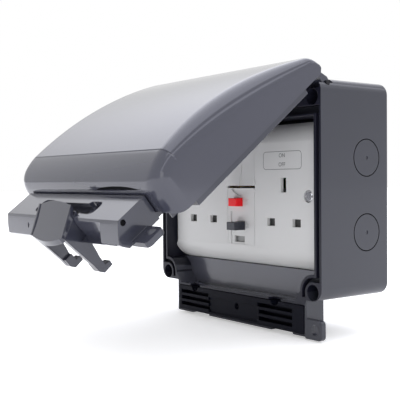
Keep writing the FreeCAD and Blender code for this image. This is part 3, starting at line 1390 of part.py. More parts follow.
# Tray and what it holds
def make_rear_housing():
    body = new_body("rear_housing")
    low = plate_middle - tray_low
    high = plate_middle + tray_high
    front = plate_inside - fit_gap
    pad(body, "front", [rounded(-tray_half, tray_half, low, high, tray_corner)], tray_back,
        front - tray_back)
    inner = rounded(-tray_half + tray_wall, tray_half - tray_wall, low + tray_wall,
                    high - tray_wall, tray_corner - tray_wall)
    pocket(body, "front", [inner], front, front - tray_floor)
    # Columns for the tray's screws, posts under the circuit board, wire holes
    columns = [circle(side * housing_screw_side, post_z(), post_radius) for side in (-1, 1)]
    pad(body, "front", columns, tray_floor - 0.5, plate_back + 3 - tray_floor + 0.5)
    bores = [circle(side * housing_screw_side, post_z(), tray_bore_radius) for side in (-1, 1)]
    pocket(body, "front", bores, plate_back + 4, plate_back + 5 - tray_back)
    heights = (plate_middle - board_low + board_post_inset,
               plate_middle + board_high - board_post_inset)
    board_posts = [circle(side * (board_half - board_post_inset), height, board_post_radius)
                   for side in (-1, 1) for height in heights]
    pad(body, "front", board_posts, tray_floor - 0.5, board_back - tray_floor + 0.5)
    places = (-terminal_side, as_size(0), terminal_side)
    screws = [circle(x, terminal_z(), terminal_screw_head + fit_gap) for x in places]
    pocket(body, "front", screws, tray_floor + 0.5, tray_wall + 1)
    wires = [circle(x, -bar_front - terminal_depth / 2, wire_radius + fit_gap) for x in places]
    pocket(body, "top", wires, high + 1, tray_wall + 2)
    return keep(body, "rear_housing")


def terminal_z():
    return plate_middle + tray_high - terminal_drop


def make_housing_screws():
    body = new_body("housing_screws")
    body.AllowCompound = True
    spots = [(side * housing_screw_side, post_z()) for side in (-1, 1)]
    pad(body, "front", [circle(x, z, tray_screw_radius) for x, z in spots], tray_back,
        plate_back + 5 - tray_back)
    small_heads(body, spots, tray_back)
    return keep(body, "housing_screws")


def make_shutter(label, middle):
    body = new_body(label)
    front = plate_inside - fit_gap
    back = front - shutter_thickness
    blade_low = live_z - shutter_blade / 2
    half = pin_span / 2 + live_slot_width / 2 + pin_gap
    blade = rectangle(middle - half, middle + half, blade_low, blade_low + shutter_blade)
    pad(body, "front", [blade], back, shutter_thickness)
    arm_top = earth_z - earth_slot_height / 2 + shutter_lap
    arm = rectangle(middle - shutter_arm, middle + shutter_arm,
                    blade_low + shutter_blade - 0.5, arm_top)
    pad(body, "front", [arm], back, shutter_thickness)
    cam = [
        (shutter_cam - back, arm_top - shutter_cam_length), (shutter_cam - back, arm_top - 4.6),
        (-back, arm_top), (-back, arm_top - shutter_cam_length),
    ]
    pad(body, "side", [cam], middle - shutter_cam_half, 2 * shutter_cam_half)
    seat = rectangle(middle - 2.6, middle + 2.6, blade_low - 1, blade_low + 1)
    pad(body, "front", [seat], back - shutter_seat, shutter_thickness + shutter_seat)
    return keep(body, label)


def make_shutters():
    floor_z = plate_middle - tray_low + tray_wall
    blade_low = live_z - shutter_blade / 2
    depth = plate_inside - fit_gap - shutter_thickness - 0.6
    length = blade_low - 1 - floor_z
    for label, side in (("left", -1), ("right", 1)):
        middle = side * socket_span / 2
        make_shutter("shutter_" + label, middle)
        make_spring("shutter_spring_" + label, middle, -depth, floor_z,
                    shutter_spring_radius, length, shutter_turns, True)


def contact_profile(across, base):
    """A U of sprung leaves that grips a pin."""
    inner = pin_thickness / 2 + contact_play
    outer = inner + contact_wall
    bend = contact_top - contact_flare_length
    return [
        (across - outer, base), (across + outer, base), (across + outer, bend),
        (across + outer + contact_flare, contact_top),
        (across + inner + contact_flare, contact_top), (across + inner, bend),
        (across + inner, base + contact_wall), (across - inner, base + contact_wall),
        (across - inner, bend), (across - inner - contact_flare, contact_top),
        (across - outer - contact_flare, contact_top), (across - outer, bend),
    ]


def make_contacts():
    sides = (("left", -1), ("right", 1))
    for word, side in sides:
        middle = side * socket_span / 2
        for name, pin in (("neutral", -1), ("live", 1)):
            body = new_body(name + "_contact_" + word)
            profile = [(-depth, height) for height, depth in contact_profile(live_z, bar_front)]
            pad(body, "side", [profile], middle + pin * pin_span / 2 - contact_width / 2,
                contact_width)
            keep(body, name + "_contact_" + word)
        body = new_body("earth_contact_" + word)
        profile = [(across, -depth) for across, depth in contact_profile(middle, bar_front)]
        pad(body, "top", [profile], earth_z - earth_contact_half,
            2 * earth_contact_half)
        keep(body, "earth_contact_" + word)


def make_bars():
    """Flat strips on the tray floor that join the contacts to the terminals."""
    half = bar_width / 2
    edge = tray_half - tray_wall - bar_side
    routes = (
        ("live_bar", 1, live_z - bar_shift, (-socket_span + pin_span) / 2, (socket_span + pin_span) / 2),
        ("neutral_bar", -1, live_z + bar_shift, (-socket_span - pin_span) / 2,
         (socket_span - pin_span) / 2),
    )
    for label, side, strip, left, right in routes:
        body = new_body(label)
        first, last = (left - half, edge) if side > 0 else (-edge, right + half)
        bar_pad(body, rectangle(first, last, strip - half, strip + half))
        low, high = (strip, live_z + half) if side > 0 else (live_z - half, strip)
        for spot in (left, right):
            bar_pad(body, rectangle(spot - half, spot + half, low, high))
        inner = side * (edge - bar_run)
        outer = side * edge
        terminal = side * terminal_side
        first, last = (inner, outer) if side > 0 else (outer, inner)
        bar_pad(body, rectangle(first, last, strip - half, terminal_z() + half))
        first, last = (terminal, outer) if side > 0 else (outer, terminal)
        bar_pad(body, rectangle(first, last, terminal_z() - half, terminal_z() + half))
        end_of_bar(body, label, terminal)
    body = new_body("earth_bar")
    bar_pad(body, rectangle(-socket_span / 2 - half, socket_span / 2 + half,
                            earth_z - half, earth_z + half))
    bar_pad(body, rectangle(-half, half, earth_z, terminal_z()))
    end_of_bar(body, "earth_bar", as_size(0))


def bar_pad(body, outline):
    pad(body, "front", [outline], tray_floor, bar_thickness)


def end_of_bar(body, label, x):
    """Square end under the terminal, with the hole for its screw."""
    bar_pad(body, centred(x, terminal_z(), terminal_size - 1, terminal_size - 1))
    hole = circle(x, terminal_z(), terminal_screw_radius + 3 * pin_gap)
    pocket(body, "front", [hole], bar_front + 1, bar_thickness + 2)
    keep(body, label)


def make_terminals():
    """Brass blocks: the wire from above, the clamping screw from behind."""
    places = (("live_terminal", terminal_side), ("neutral_terminal", -terminal_side),
              ("earth_terminal", as_size(0)))
    for label, x in places:
        body = new_body(label)
        block = centred(x, terminal_z(), terminal_size, terminal_size)
        pad(body, "front", [block], bar_front, terminal_depth)
        wire = circle(x, -bar_front - terminal_depth / 2, wire_radius)
        pocket(body, "top", [wire], terminal_z() + terminal_size / 2, terminal_size * 0.8)
        hole = circle(x, terminal_z(), terminal_screw_radius + pin_gap)
        pocket(body, "front", [hole], bar_front, terminal_depth / 2, reverse=True)
        keep(body, label)
    body = new_body("terminal_screws")
    body.AllowCompound = True
    spots = [(x, terminal_z()) for label, x in places]
    pad(body, "front", [circle(x, z, terminal_screw_radius) for x, z in spots],
        tray_floor - 0.1, bar_thickness + terminal_depth * 0.35)
    pad(body, "front", [circle(x, z, terminal_screw_head) for x, z in spots],
        tray_floor - 1.4, 1.4)
    slots = [centred(x, z, 3 * terminal_screw_head, 0.7) for x, z in spots]
    pocket(body, "front", slots, tray_floor - 0.8, 1)
    keep(body, "terminal_screws")


def make_board():
    body = new_body("circuit_board")
    board = rectangle(-board_half, board_half, plate_middle - board_low, plate_middle + board_high)
    pad(body, "front", [board], board_back, board_thickness)
    keep(body, "circuit_board")
    ring = new_body("current_transformer")
    core_z = rocker_z - core_drop
    loops = [circle(as_size(0), core_z, core_radius), circle(as_size(0), core_z, core_hole)]
    pad(ring, "front", loops, board_front, core_height)
    fillet(ring, core_edge, lambda edge: near(edge.CenterOfMass.y, -(board_front + core_height).value))
    keep(ring, "current_transformer")
    coil = new_body("trip_coil")
    coil_z = plate_middle - coil_drop
    pad(coil, "front", [centred(coil_side, coil_z, coil_length, coil_width)], board_front, coil_foot)
    barrel = circle(-board_front - coil_foot - coil_radius + 0.2, coil_z, coil_radius)
    pad(coil, "side", [barrel], coil_side - coil_length / 2 + 0.5, coil_length - 1)
    keep(coil, "trip_coil")


make_base_box()
make_perimeter_seal()
make_cable_gate()
gate_seat = box_depth + gate_proud - gate_screw_recess
make_screw("gate_screw", gate_screw_side, (gate_low + gate_top) / 2, gate_seat + gate_screw_height,
           gate_screw_head, gate_screw_height, gate_screw_radius,
           gate_seat - gate_back + apron_back_wall - pilot_floor - fit_gap)
make_inserts()
make_hinge_pins()
make_lid_cover()
make_lid_frame()
make_lid_screws()
make_latch()
make_latch_pin()
make_socket_plate()
for screw_label, screw_side in (("plate_screw_left", -1), ("plate_screw_right", 1)):
    make_screw(screw_label, screw_side * fixing_span / 2, plate_middle, plate_face,
               screw_head_radius, screw_head_height, screw_radius, screw_length)
make_rockers()
make_button("test_button", -test_side, test_z, test_width, test_proud)
make_button("reset_button", -reset_side, reset_z, reset_width, reset_proud)
make_button_springs()
make_contact_carriage()
make_rear_housing()
make_housing_screws()
make_shutters()
make_contacts()
make_bars()
make_terminals()
make_board()

doc.recompute()
for thing in doc.Objects:
    if "Invalid" in thing.State or "Error" in thing.State:
        raise RuntimeError("%s failed: %s" % (thing.Label, thing.State))
for thing in parts:
    if thing.Shape.isNull() or not thing.Shape.isValid():
        raise RuntimeError("%s has no valid shape" % thing.Label)
os.makedirs("parts", exist_ok=True)
for thing in parts:
    thing.Shape.exportStep("parts/%s.step" % thing.Label)
    print(thing.Label, len(thing.Shape.Solids), round(thing.Shape.Volume, 1))
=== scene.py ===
import bpy
import bmesh
import json
import math
from mathutils import Matrix, Vector


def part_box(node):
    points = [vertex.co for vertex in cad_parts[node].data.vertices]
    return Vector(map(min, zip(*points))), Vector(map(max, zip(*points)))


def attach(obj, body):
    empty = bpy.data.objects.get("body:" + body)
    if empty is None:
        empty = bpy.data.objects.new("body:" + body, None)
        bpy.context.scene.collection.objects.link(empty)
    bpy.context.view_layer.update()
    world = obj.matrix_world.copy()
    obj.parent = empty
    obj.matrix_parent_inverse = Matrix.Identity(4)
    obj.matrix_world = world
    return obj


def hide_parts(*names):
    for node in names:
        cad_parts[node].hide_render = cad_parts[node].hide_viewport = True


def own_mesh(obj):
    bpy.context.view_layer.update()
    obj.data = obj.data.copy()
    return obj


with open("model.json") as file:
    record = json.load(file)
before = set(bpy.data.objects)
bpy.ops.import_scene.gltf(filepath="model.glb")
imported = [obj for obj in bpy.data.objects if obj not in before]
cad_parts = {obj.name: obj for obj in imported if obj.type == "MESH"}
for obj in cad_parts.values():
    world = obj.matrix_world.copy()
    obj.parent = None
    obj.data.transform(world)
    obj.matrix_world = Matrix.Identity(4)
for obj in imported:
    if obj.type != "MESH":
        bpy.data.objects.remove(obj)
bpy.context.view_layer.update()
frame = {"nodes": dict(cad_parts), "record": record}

scene = bpy.context.scene
scene.view_settings.view_transform = "Standard"

# Camera at the photograph's viewing angle: angles in degrees, place in metres
CAMERA = {"azimuth": 53.29, "elevation": 1.42, "roll": -0.48, "lens": 70.376, "sensor": 36,
          "place": (0.38175, -0.3653, 0.0058), "near": 0.01, "far": 50}


def add_camera():
    data = bpy.data.cameras.new("camera")
    data.sensor_width = CAMERA["sensor"]
    data.lens = CAMERA["lens"]
    data.clip_start = CAMERA["near"]
    data.clip_end = CAMERA["far"]
    azimuth = math.radians(CAMERA["azimuth"])
    elevation = math.radians(CAMERA["elevation"])
    roll = math.radians(CAMERA["roll"])
    forward = Vector((-math.sin(azimuth) * math.cos(elevation),
                      math.cos(azimuth) * math.cos(elevation), -math.sin(elevation)))
    right = Vector((math.cos(azimuth), math.sin(azimuth), 0))
    up = right.cross(forward)
    right_rolled = right * math.cos(roll) + up * math.sin(roll)
    up_rolled = up * math.cos(roll) - right * math.sin(roll)
    matrix = Matrix((right_rolled, up_rolled, -forward)).transposed().to_4x4()
    matrix.translation = Vector(CAMERA["place"])
    camera = bpy.data.objects.new("camera", data)
    camera.matrix_world = matrix
    scene.collection.objects.link(camera)
    scene.camera = camera


# Sockets of the Mix node, for two numbers or two colours
NUMBERS = {"first": 2, "second": 3, "mixed": 0}
COLOURS = {"first": 6, "second": 7, "mixed": 2}


class Nodes:
    """A short way to write a node tree."""

    def __init__(self, tree):
        self.tree = tree

    def add(self, kind, **settings):
        node = self.tree.nodes.new(kind)
        for name, value in settings.items():
            setattr(node, name, value)
        return node

    def link(self, output, entry):
        self.tree.links.new(output, entry)

    def spread(self, value, low, high, start, end, kind="LINEAR"):
        """A value between start and end, carried over to low and high."""
        node = self.add("ShaderNodeMapRange", interpolation_type=kind)
        self.link(value, node.inputs["Value"])
        node.inputs["From Min"].default_value = start
        node.inputs["From Max"].default_value = end
        node.inputs["To Min"].default_value = low
        node.inputs["To Max"].default_value = high
        return node.outputs[0]

    def combine(self, operation, first, second):
        node = self.add("ShaderNodeMath", operation=operation)
        self.link(first, node.inputs[0])
        self.link(second, node.inputs[1])
        return node.outputs[0]

    def colours(self, value, first, second):
        node = self.add("ShaderNodeMix", data_type="RGBA")
        self.link(value, node.inputs["Factor"])
        node.inputs[COLOURS["first"]].default_value = (*first, 1)
        node.inputs[COLOURS["second"]].default_value = (*second, 1)
        return node.outputs[COLOURS["mixed"]]


class Finish(Nodes):
    """The node tree of one material."""

    def __init__(self, name):
        self.material = bpy.data.materials.new(name)
        self.material.use_nodes = True
        super().__init__(self.material.node_tree)
        self.tree.nodes.clear()
        self.shader = self.add("ShaderNodeBsdfPrincipled")
        output = self.add("ShaderNodeOutputMaterial")
        self.link(self.shader.outputs[0], output.inputs["Surface"])
        self.place = self.add("ShaderNodeTexCoord").outputs["Object"]

    def set(self, socket, value):
        self.shader.inputs[socket].default_value = value

    def noise(self, scale, detail):
        node = self.add("ShaderNodeTexNoise")
        node.inputs["Scale"].default_value = scale
        node.inputs["Detail"].default_value = detail
        self.link(self.place, node.inputs["Vector"])
        return node.outputs["Fac"]

    def mottle(self, first, second, noise):
        """Base colour that drifts between two colours."""
        value = self.spread(self.noise(*noise), 0, 1, NOISE["start"], NOISE["end"])
        self.link(self.colours(value, first, second), self.shader.inputs["Base Color"])

    def gloss(self, rough, swing, noise):
        """Roughness that drifts to both sides by a share of itself."""
        value = self.spread(self.noise(*noise), rough * (1 - swing), rough * (1 + swing),
                            NOISE["start"], NOISE["end"])
        self.link(value, self.shader.inputs["Roughness"])

    def grain(self, scale, strength, depth):
        """Fine bumps: their scale for each metre, their strength and their depth in metres."""
        node = self.add("ShaderNodeBump")
        node.inputs["Strength"].default_value = strength
        node.inputs["Distance"].default_value = depth
        self.link(self.noise(scale, NOISE["grain_detail"]), node.inputs["Height"])
        self.link(node.outputs[0], self.shader.inputs["Normal"])

    def round_edges(self, radius):
        node = self.add("ShaderNodeBevel", samples=MOULDED["edge_samples"])
        node.inputs["Radius"].default_value = radius
        self.link(node.outputs[0], self.shader.inputs["Normal"])


# The part of a noise's range in use, and each noise as (scale for each metre, detail)
NOISE = {"start": 0.3, "end": 0.7, "grain_detail": 2}
MOULDED = {"tint": (14, 4), "gloss": (60, 3), "swing": 0.03, "coat_rough": 0.05,
           "edge_samples": 6}
METAL = {"tint": (40, 4), "dark": 0.88, "swing": 0.3, "detail": 6, "finer": 4, "strength": 0.05,
         "depth": 0.00002}

# Grain of a moulded surface, as Finish.grain takes it
GRAINS = {"fine": (900, 0.1, 0.00001), "ink": (900, 0.05, 0.00001), "tray": (700, 0.1, 0.00002),
          "coarse": (900, 0.35, 0.00004), "rubber": (1200, 0.35, 0.00004),
          "laminate": (500, 0.3, 0.00003)}


def moulded(name, colour, rough, grain=None, drift=0.08, coat=0.0, specular=0.5, edges=0.0):
    """Moulded plastic or rubber: soft colour drift, uneven gloss, and grain or rounded edges."""
    nodes = Finish(name)
    dark = tuple(c * (1 - drift) for c in colour)
    light = tuple(min(1, c * (1 + drift)) for c in colour)
    nodes.mottle(dark, light, MOULDED["tint"])
    nodes.gloss(rough, MOULDED["swing"], MOULDED["gloss"])
    nodes.set("Specular IOR Level", specular)
    nodes.set("Coat Weight", coat)
    nodes.set("Coat Roughness", MOULDED["coat_rough"])
    if grain:
        nodes.grain(*GRAINS[grain])
    if edges > 0:
        nodes.round_edges(edges)
    return nodes.material


def metal(name, colour, rough, scale=300):
    """Plated or bare metal with fine scratches."""
    nodes = Finish(name)
    nodes.mottle(tuple(c * METAL["dark"] for c in colour), colour, METAL["tint"])
    nodes.gloss(rough, METAL["swing"], (scale, METAL["detail"]))
    nodes.grain(scale * METAL["finer"], METAL["strength"], METAL["depth"])
    nodes.set("Metallic", 1)
    return nodes.material


# Finishes: how each is made, its colour and roughness, and what else sets it apart
RECIPES = {
    "body_plastic": (moulded, (0.031, 0.033, 0.046), 0.3,
                     {"drift": 0.03, "coat": 0.15, "edges": 0.0005}),
    # A darker copy of the body plastic: painted shade inside the box and on its rim
    "inner_plastic": (moulded, (0.013, 0.0135, 0.024), 0.35, {"specular": 0.3, "edges": 0.0005}),
    # A lighter, glossier copy of the body plastic: painted reflection on the cable pocket's shelf
    # and back wall
    "pocket_plastic": (moulded, (0.078, 0.08, 0.103), 0.2, {"coat": 0.3}),
    # Near-black painted shade in the knockouts' ring channels, the grip slot and the latch pin's
    # holes
    "groove": (moulded, (0.006, 0.006, 0.008), 0.7, {"specular": 0.1}),
    "lid_plastic": (moulded, (0.05, 0.052, 0.073), 0.12, {"drift": 0.02, "coat": 0.5}),
    "frame_plastic": (moulded, (0.037, 0.039, 0.057), 0.18,
                      {"drift": 0.02, "coat": 0.5, "edges": 0.0006}),
    "seal_rubber": (moulded, (0.009, 0.01, 0.016), 0.6, {"grain": "rubber", "specular": 0.3}),
    "gate_rubber": (moulded, (0.003, 0.0035, 0.009), 0.5, {"specular": 0.1, "edges": 0.0004}),
    "steel": (metal, (0.8, 0.8, 0.82), 0.12, {}),
    "dark_steel": (metal, (0.04, 0.04, 0.045), 0.4, {}),
    "brass": (metal, (0.83, 0.62, 0.28), 0.3, {}),
    "copper": (metal, (0.76, 0.38, 0.22), 0.35, {"scale": 900}),
    "white_plastic": (moulded, (0.72, 0.72, 0.715), 0.3, {"drift": 0.01, "specular": 0.35}),
    "rocker_plastic": (moulded, (0.8, 0.8, 0.795), 0.15, {"drift": 0.01, "coat": 0.5}),
    "red_plastic": (moulded, (1, 0.012, 0.02), 0.3,
                    {"grain": "fine", "drift": 0.03, "specular": 0.25}),
    "grey_plastic": (moulded, (0.034, 0.036, 0.05), 0.35, {"grain": "fine"}),
    "flag_plastic": (moulded, (0.36, 0.36, 0.36), 0.4, {"grain": "fine"}),
    "tray_plastic": (moulded, (0.68, 0.68, 0.67), 0.4, {"grain": "tray", "drift": 0.02}),
    "shutter_plastic": (moulded, (0.045, 0.045, 0.045), 0.4, {"grain": "tray"}),
    "board": (moulded, (0.03, 0.16, 0.07), 0.35, {"grain": "laminate", "drift": 0.15}),
    "coil_plastic": (moulded, (0.04, 0.05, 0.08), 0.3, {"grain": "coarse"}),
    "print": (moulded, (0.17, 0.17, 0.17), 0.5, {"grain": "ink"}),
}
MATERIALS = {name: make(name, colour, rough, **rest)
             for name, (make, colour, rough, rest) in RECIPES.items()}

# Nodes whose finish isn't that of their slot
FINISHES = {"rocker_left": "rocker_plastic", "rocker_right": "rocker_plastic",
            "contact_carriage": "flag_plastic", "lid_frame": "frame_plastic",
            # The latch pin is dark steel; its darkness also serves as painted shade at its ends
            # in the housing's holes
            "latch": "frame_plastic", "latch_pin": "dark_steel", "hinge_pin_left": "dark_steel",
            "hinge_pin_right": "dark_steel"}
SLOTS = {part["node"]: part["material_slot"] for part in frame["record"]["subparts"]}


def mm(vector):
    return Vector(vector) * 1000


def add_piece(name, mesh, *materials):
    """A piece of the scene in some of the finishes."""
    for material in materials:
        mesh.materials.append(MATERIALS[material])
    piece = bpy.data.objects.new(name, mesh)
    scene.collection.objects.link(piece)
    return piece


def mesh_of(name, shape):
    mesh = bpy.data.meshes.new(name)
    shape.to_mesh(mesh)
    shape.free()
    return mesh


# Parts of the box in row coordinates in millimetres, and the least slope of a face in them. They
# pick the box's faces for its grey outside, for the darker copy of its plastic that is painted
# shade inside and on the rim, and for the lighter copy that is painted reflection in the cable
# pocket.
BOX_HALF = mm(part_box("lid_cover")[1]).x
BOX_TOP = mm(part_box("base_box")[1]).z
OUTSIDE = {"side": 1.3, "back": 1.5, "slope": 0.2}
UNDERSIDE = {"high": -57, "front": -46, "right": 60, "slope": 0.3}
EAR = {"left": 62, "high": -63.5}
SHELF = {"high": -44, "slope": 0.15}
POCKET_WALL = {"low": -62.5, "high": -46, "front": -44, "slope": 0.5}
POCKET_HALF = 62
# Knockouts in the box's sides: faces of their ring channels, within line of the radius, get
# painted shade
KNOCKOUTS = {"depth": 18.8, "heights": (18.2, -24.8), "radius": 10.7, "line": 0.9,
             "shallow": 0.02, "deep": 1}
BOX_FINISHES = ("body_plastic", "inner_plastic", "groove", "pocket_plastic")


def on_knockout(middle):
    """Whether a face lies in the ring channel of a knockout in the box's left or right side,
    where painted shade goes.
    """
    if not KNOCKOUTS["shallow"] < BOX_HALF - abs(middle.x) < KNOCKOUTS["deep"]:
        return False
    for height in KNOCKOUTS["heights"]:
        away = math.hypot(middle.y + KNOCKOUTS["depth"], middle.z - height)
        if abs(away - KNOCKOUTS["radius"]) < KNOCKOUTS["line"]:
            return True
    return False


def on_outside(middle, normal):
    """Whether a face of the box is on its sides, back, top, underside or ear."""
    side = abs(middle.x) > BOX_HALF - OUTSIDE["side"] and abs(normal.x) > OUTSIDE["slope"]
    back = middle.y > -OUTSIDE["back"]
    top = middle.z > BOX_TOP - OUTSIDE["side"]
    under = middle.z < UNDERSIDE["high"] and middle.y > UNDERSIDE["front"]
    under = under and (abs(normal.z) > UNDERSIDE["slope"] or middle.x > UNDERSIDE["right"])
    ear = middle.x > EAR["left"] and middle.z < EAR["high"]
    return side or back or top or under or ear


def in_pocket(middle, normal):
    """Whether a face of the box is on the shelf or the back wall of the cable pocket, which get a
    lighter copy of the plastic as painted reflection.
    """
    shelf = normal.z > SHELF["slope"] and middle.z < SHELF["high"]
    wall = normal.y < -POCKET_WALL["slope"] and middle.y > POCKET_WALL["front"]
    wall = wall and POCKET_WALL["low"] < middle.z < POCKET_WALL["high"]
    return abs(middle.x) < POCKET_HALF and (shelf or wall)


def box_finish(middle, normal):
    """Finish of a face of the box: grey outside; inside and on the rim, a darker copy of the same
    plastic as painted shade; on the cable pocket's shelf and back wall, a lighter copy as painted
    reflection; in the knockouts' ring channels, near-black painted shade.
    """
    if on_knockout(middle):
        return "groove"
    if on_outside(middle, normal):
        return "body_plastic"
    if in_pocket(middle, normal):
        return "pocket_plastic"
    return "inner_plastic"


def dress_nodes():
    for name, thing in frame["nodes"].items():
        thing.data.materials.clear()
        thing.data.materials.append(MATERIALS[FINISHES.get(name, SLOTS[name])])
    # The box's faces: grey outside, painted shade inside and on the rim, painted reflection in
    # the cable pocket, near-black painted shade in the knockouts' ring channels
    mesh = frame["nodes"]["base_box"].data
    for name in BOX_FINISHES[1:]:
        mesh.materials.append(MATERIALS[name])
    for face in mesh.polygons:
        finish = box_finish(mm(face.center), face.normal)
        face.material_index = BOX_FINISHES.index(finish)


# Lid cover, drawn shut: down from the hinge axis, out from it, in millimetres
LID_ANGLE = math.radians(51.6)
AXIS = (mm(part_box("hinge_pin_left")[0]) + mm(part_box("hinge_pin_left")[1])) / 2
RIM = 7.3
WALL = 2
CROWN = 6.6
BACK = {"down": 5.5, "out": 19.9, "foot_down": 0.4, "foot_out": 14.4, "foot_drop": 0.6,
        "lip": 2.4, "straight": 0.35}
CREASE = {"down": 107.5, "out": 36.4, "kink": math.radians(14), "half": 0.45, "depth": 0.35,
          "lip": 0.06}
NOSE = {"down": 125, "out": 23.5, "end": 125.4, "end_out": 18.5, "low": 4.6, "corner": 10,
        "corner_end": 125.5, "lift": 4, "lift_power": 6}
INNER = {"start": 3.6, "end": 123, "bend": 2.2, "thicker": 2.6, "edge": 0.8}

# Rounding of the side edges: its size, the share of it that is lost towards each end, and
# the straight height that it leaves below
EDGE = {"size": 12, "back": 0.7, "back_reach": 0.554, "front": 0.3, "nose": 0.24, "below": 1}
STEPS = {"back": 8, "crown": 48, "band": 30, "across": 120, "edge": 14, "side": 4}

# Slim grip slot in the front band, and its four edges
GRIP = {"start": 18, "end": 61, "low": 25.2, "high": 26.9, "curve": 2.6, "depth": 1.2,
        "clear": 0.15, "seam": 0.04}
GRIP_EDGES = ({"raised": True, "sunk": False}, {"raised": True, "sunk": True},
              {"raised": False, "sunk": True}, {"raised": False, "sunk": False})
KNUCKLES = {"inside": 67.9, "outside": 76.3, "high": 13.1}
BOSSES = {"side": 63, "down": (25.9, 94.2), "radius": 3.2, "low": 12.3, "cover": 1.2, "steps": 20}
HOUSING_HALF = 64.5
# Discs of painted shade in the latch pin's holes: gap round the pin, length, how far sunk, steps
PIN_HOLE_SHADE = {"gap": 0.05, "length": 1.2, "sunk": 1.5, "steps": 24}


def lid_place(x, down, out):
    """Row coordinates in metres of a point on the lid as it stands open."""
    cosine = math.cos(LID_ANGLE)
    sine = math.sin(LID_ANGLE)
    return Vector((x, AXIS.y - cosine * out - sine * down,
                   AXIS.z + sine * out - cosine * down)) / 1000


def crown_share(down):
    return (down - BACK["down"]) / (CREASE["down"] - BACK["down"])


def nose_share(down):
    return (down - CREASE["down"]) / (NOSE["down"] - CREASE["down"])


def crown_out(down):
    share = crown_share(down)
    rise = (CREASE["out"] - BACK["out"]) * share
    return BACK["out"] + rise + CROWN * (1 - (2 * share - 1) ** 2)


def nose_out(turn):
    height = CREASE["out"] - NOSE["out"]
    return NOSE["out"] + height * math.cos(turn) / math.cos(CREASE["kink"])


def nose_down(out):
    kink = CREASE["kink"]
    share = (out - NOSE["out"]) / (CREASE["out"] - NOSE["out"])
    turn = math.acos(max(0, share) * math.cos(kink))
    down = (math.sin(turn) - math.sin(kink)) / (1 - math.sin(kink))
    return CREASE["down"] + (NOSE["down"] - CREASE["down"]) * down


def edge_size(down):
    """Rounding of the side edges, which swells towards the middle and fades at both ends."""
    share = crown_share(down)
    if share < 0.5:
        lost = EDGE["back"] * ((0.5 - share) / EDGE["back_reach"]) ** 2
    elif share < 1:
        lost = EDGE["front"] * ((share - 0.5) / 0.5) ** 2
    else:
        lost = EDGE["front"] + EDGE["nose"] * min(1, nose_share(down)) ** 3
    return EDGE["size"] * (1 - lost)


def corner_turn(down, inset=0):
    """How far the side turns in at the nose, seen from the front."""
    radius = NOSE["corner"] - inset
    past = down - (NOSE["corner_end"] - NOSE["corner"])
    if past <= 0:
        return 0
    return radius - math.sqrt(radius ** 2 - past ** 2)


def lower_edge(down):
    if down < BACK["lip"]:
        return RIM + BACK["lip"] - down
    return RIM + NOSE["lift"] * max(0, nose_share(down)) ** NOSE["lift_power"]


def back_stations():
    """Stations over the rounded back, part straight and part quarter circle."""
    stations = [(0, BACK["foot_out"] - BACK["foot_drop"])]
    straight = BACK["straight"]
    for step in range(STEPS["back"] + 1):
        share = step / STEPS["back"]
        turn = math.radians(90 * share)
        down = straight * share + (1 - straight) * (1 - math.cos(turn))
        out = straight * share + (1 - straight) * math.sin(turn)
        stations.append((BACK["foot_down"] + (BACK["down"] - BACK["foot_down"]) * down,
                         BACK["foot_out"] + (BACK["out"] - BACK["foot_out"]) * out))
    return stations


def band_stations():
    """Stations down the front band, with four close together for the grip slot's edges."""
    turns = [CREASE["kink"] + (math.pi / 2 - CREASE["kink"]) * step / STEPS["band"]
             for step in range(1, STEPS["band"] + 1)]
    heights = [out for out in map(nose_out, turns)
               if out > GRIP["high"] + GRIP["clear"] or out < GRIP["low"] - GRIP["clear"]]
    heights += [GRIP["low"] - GRIP["seam"] * edge for edge in range(len(GRIP_EDGES))]
    stations = [(nose_down(out), out) for out in sorted(heights, reverse=True)]
    return stations + [(NOSE["end"], NOSE["end_out"])]


def lid_stations():
    """Stations along the outer skin, as (down, out)."""
    last = CREASE["down"] - CREASE["half"]
    downs = [BACK["down"] + (last - BACK["down"]) * step / STEPS["crown"]
             for step in range(1, STEPS["crown"] + 1)]
    crown = [(down, crown_out(down)) for down in downs]
    crease = [(CREASE["down"], CREASE["out"] - CREASE["depth"]),
              (CREASE["down"] + CREASE["half"], CREASE["out"] - CREASE["lip"])]
    return back_stations() + crown + crease + band_stations()


def cross_section(half, low, top, edge):
    """A cross section from the left lower edge over the top to the right one, as (x, out)."""
    across = min(edge, top - low - EDGE["below"])
    middle = STEPS["across"] // 2
    points = [(step / middle * (half - edge), top) for step in range(middle + 1)]
    for step in range(1, STEPS["edge"] + 1):
        turn = math.radians(90) * (1 - step / STEPS["edge"])
        points.append((half - edge * (1 - math.cos(turn)),
                       top - across + across * math.sin(turn)))
    for step in range(1, STEPS["side"] + 1):
        points.append((half, top - across - (top - across - low) * step / STEPS["side"]))
    left = [(-x, out) for x, out in points[:0:-1]]
    return left + points


def grip_height(x):
    """Height of the slim grip slot in the band, which is nothing beyond its two ends."""
    middle = (GRIP["start"] + GRIP["end"]) / 2
    share = (x - middle) / ((GRIP["end"] - GRIP["start"]) / 2)
    return (GRIP["high"] - GRIP["low"]) * max(0, 1 - abs(share) ** GRIP["curve"])


def grip_row(section, down, base, edge):
    """One of the slot's four edges, right across the band."""
    row = []
    for x, out in section:
        height = grip_height(x)
        if out != base or height == 0:
            row.append((x, down, out))
            continue
        out += height if edge["raised"] else 0
        sunk = GRIP["depth"] if edge["sunk"] else 0
        row.append((x, nose_down(out) - sunk, out - sunk / 2))
    return row


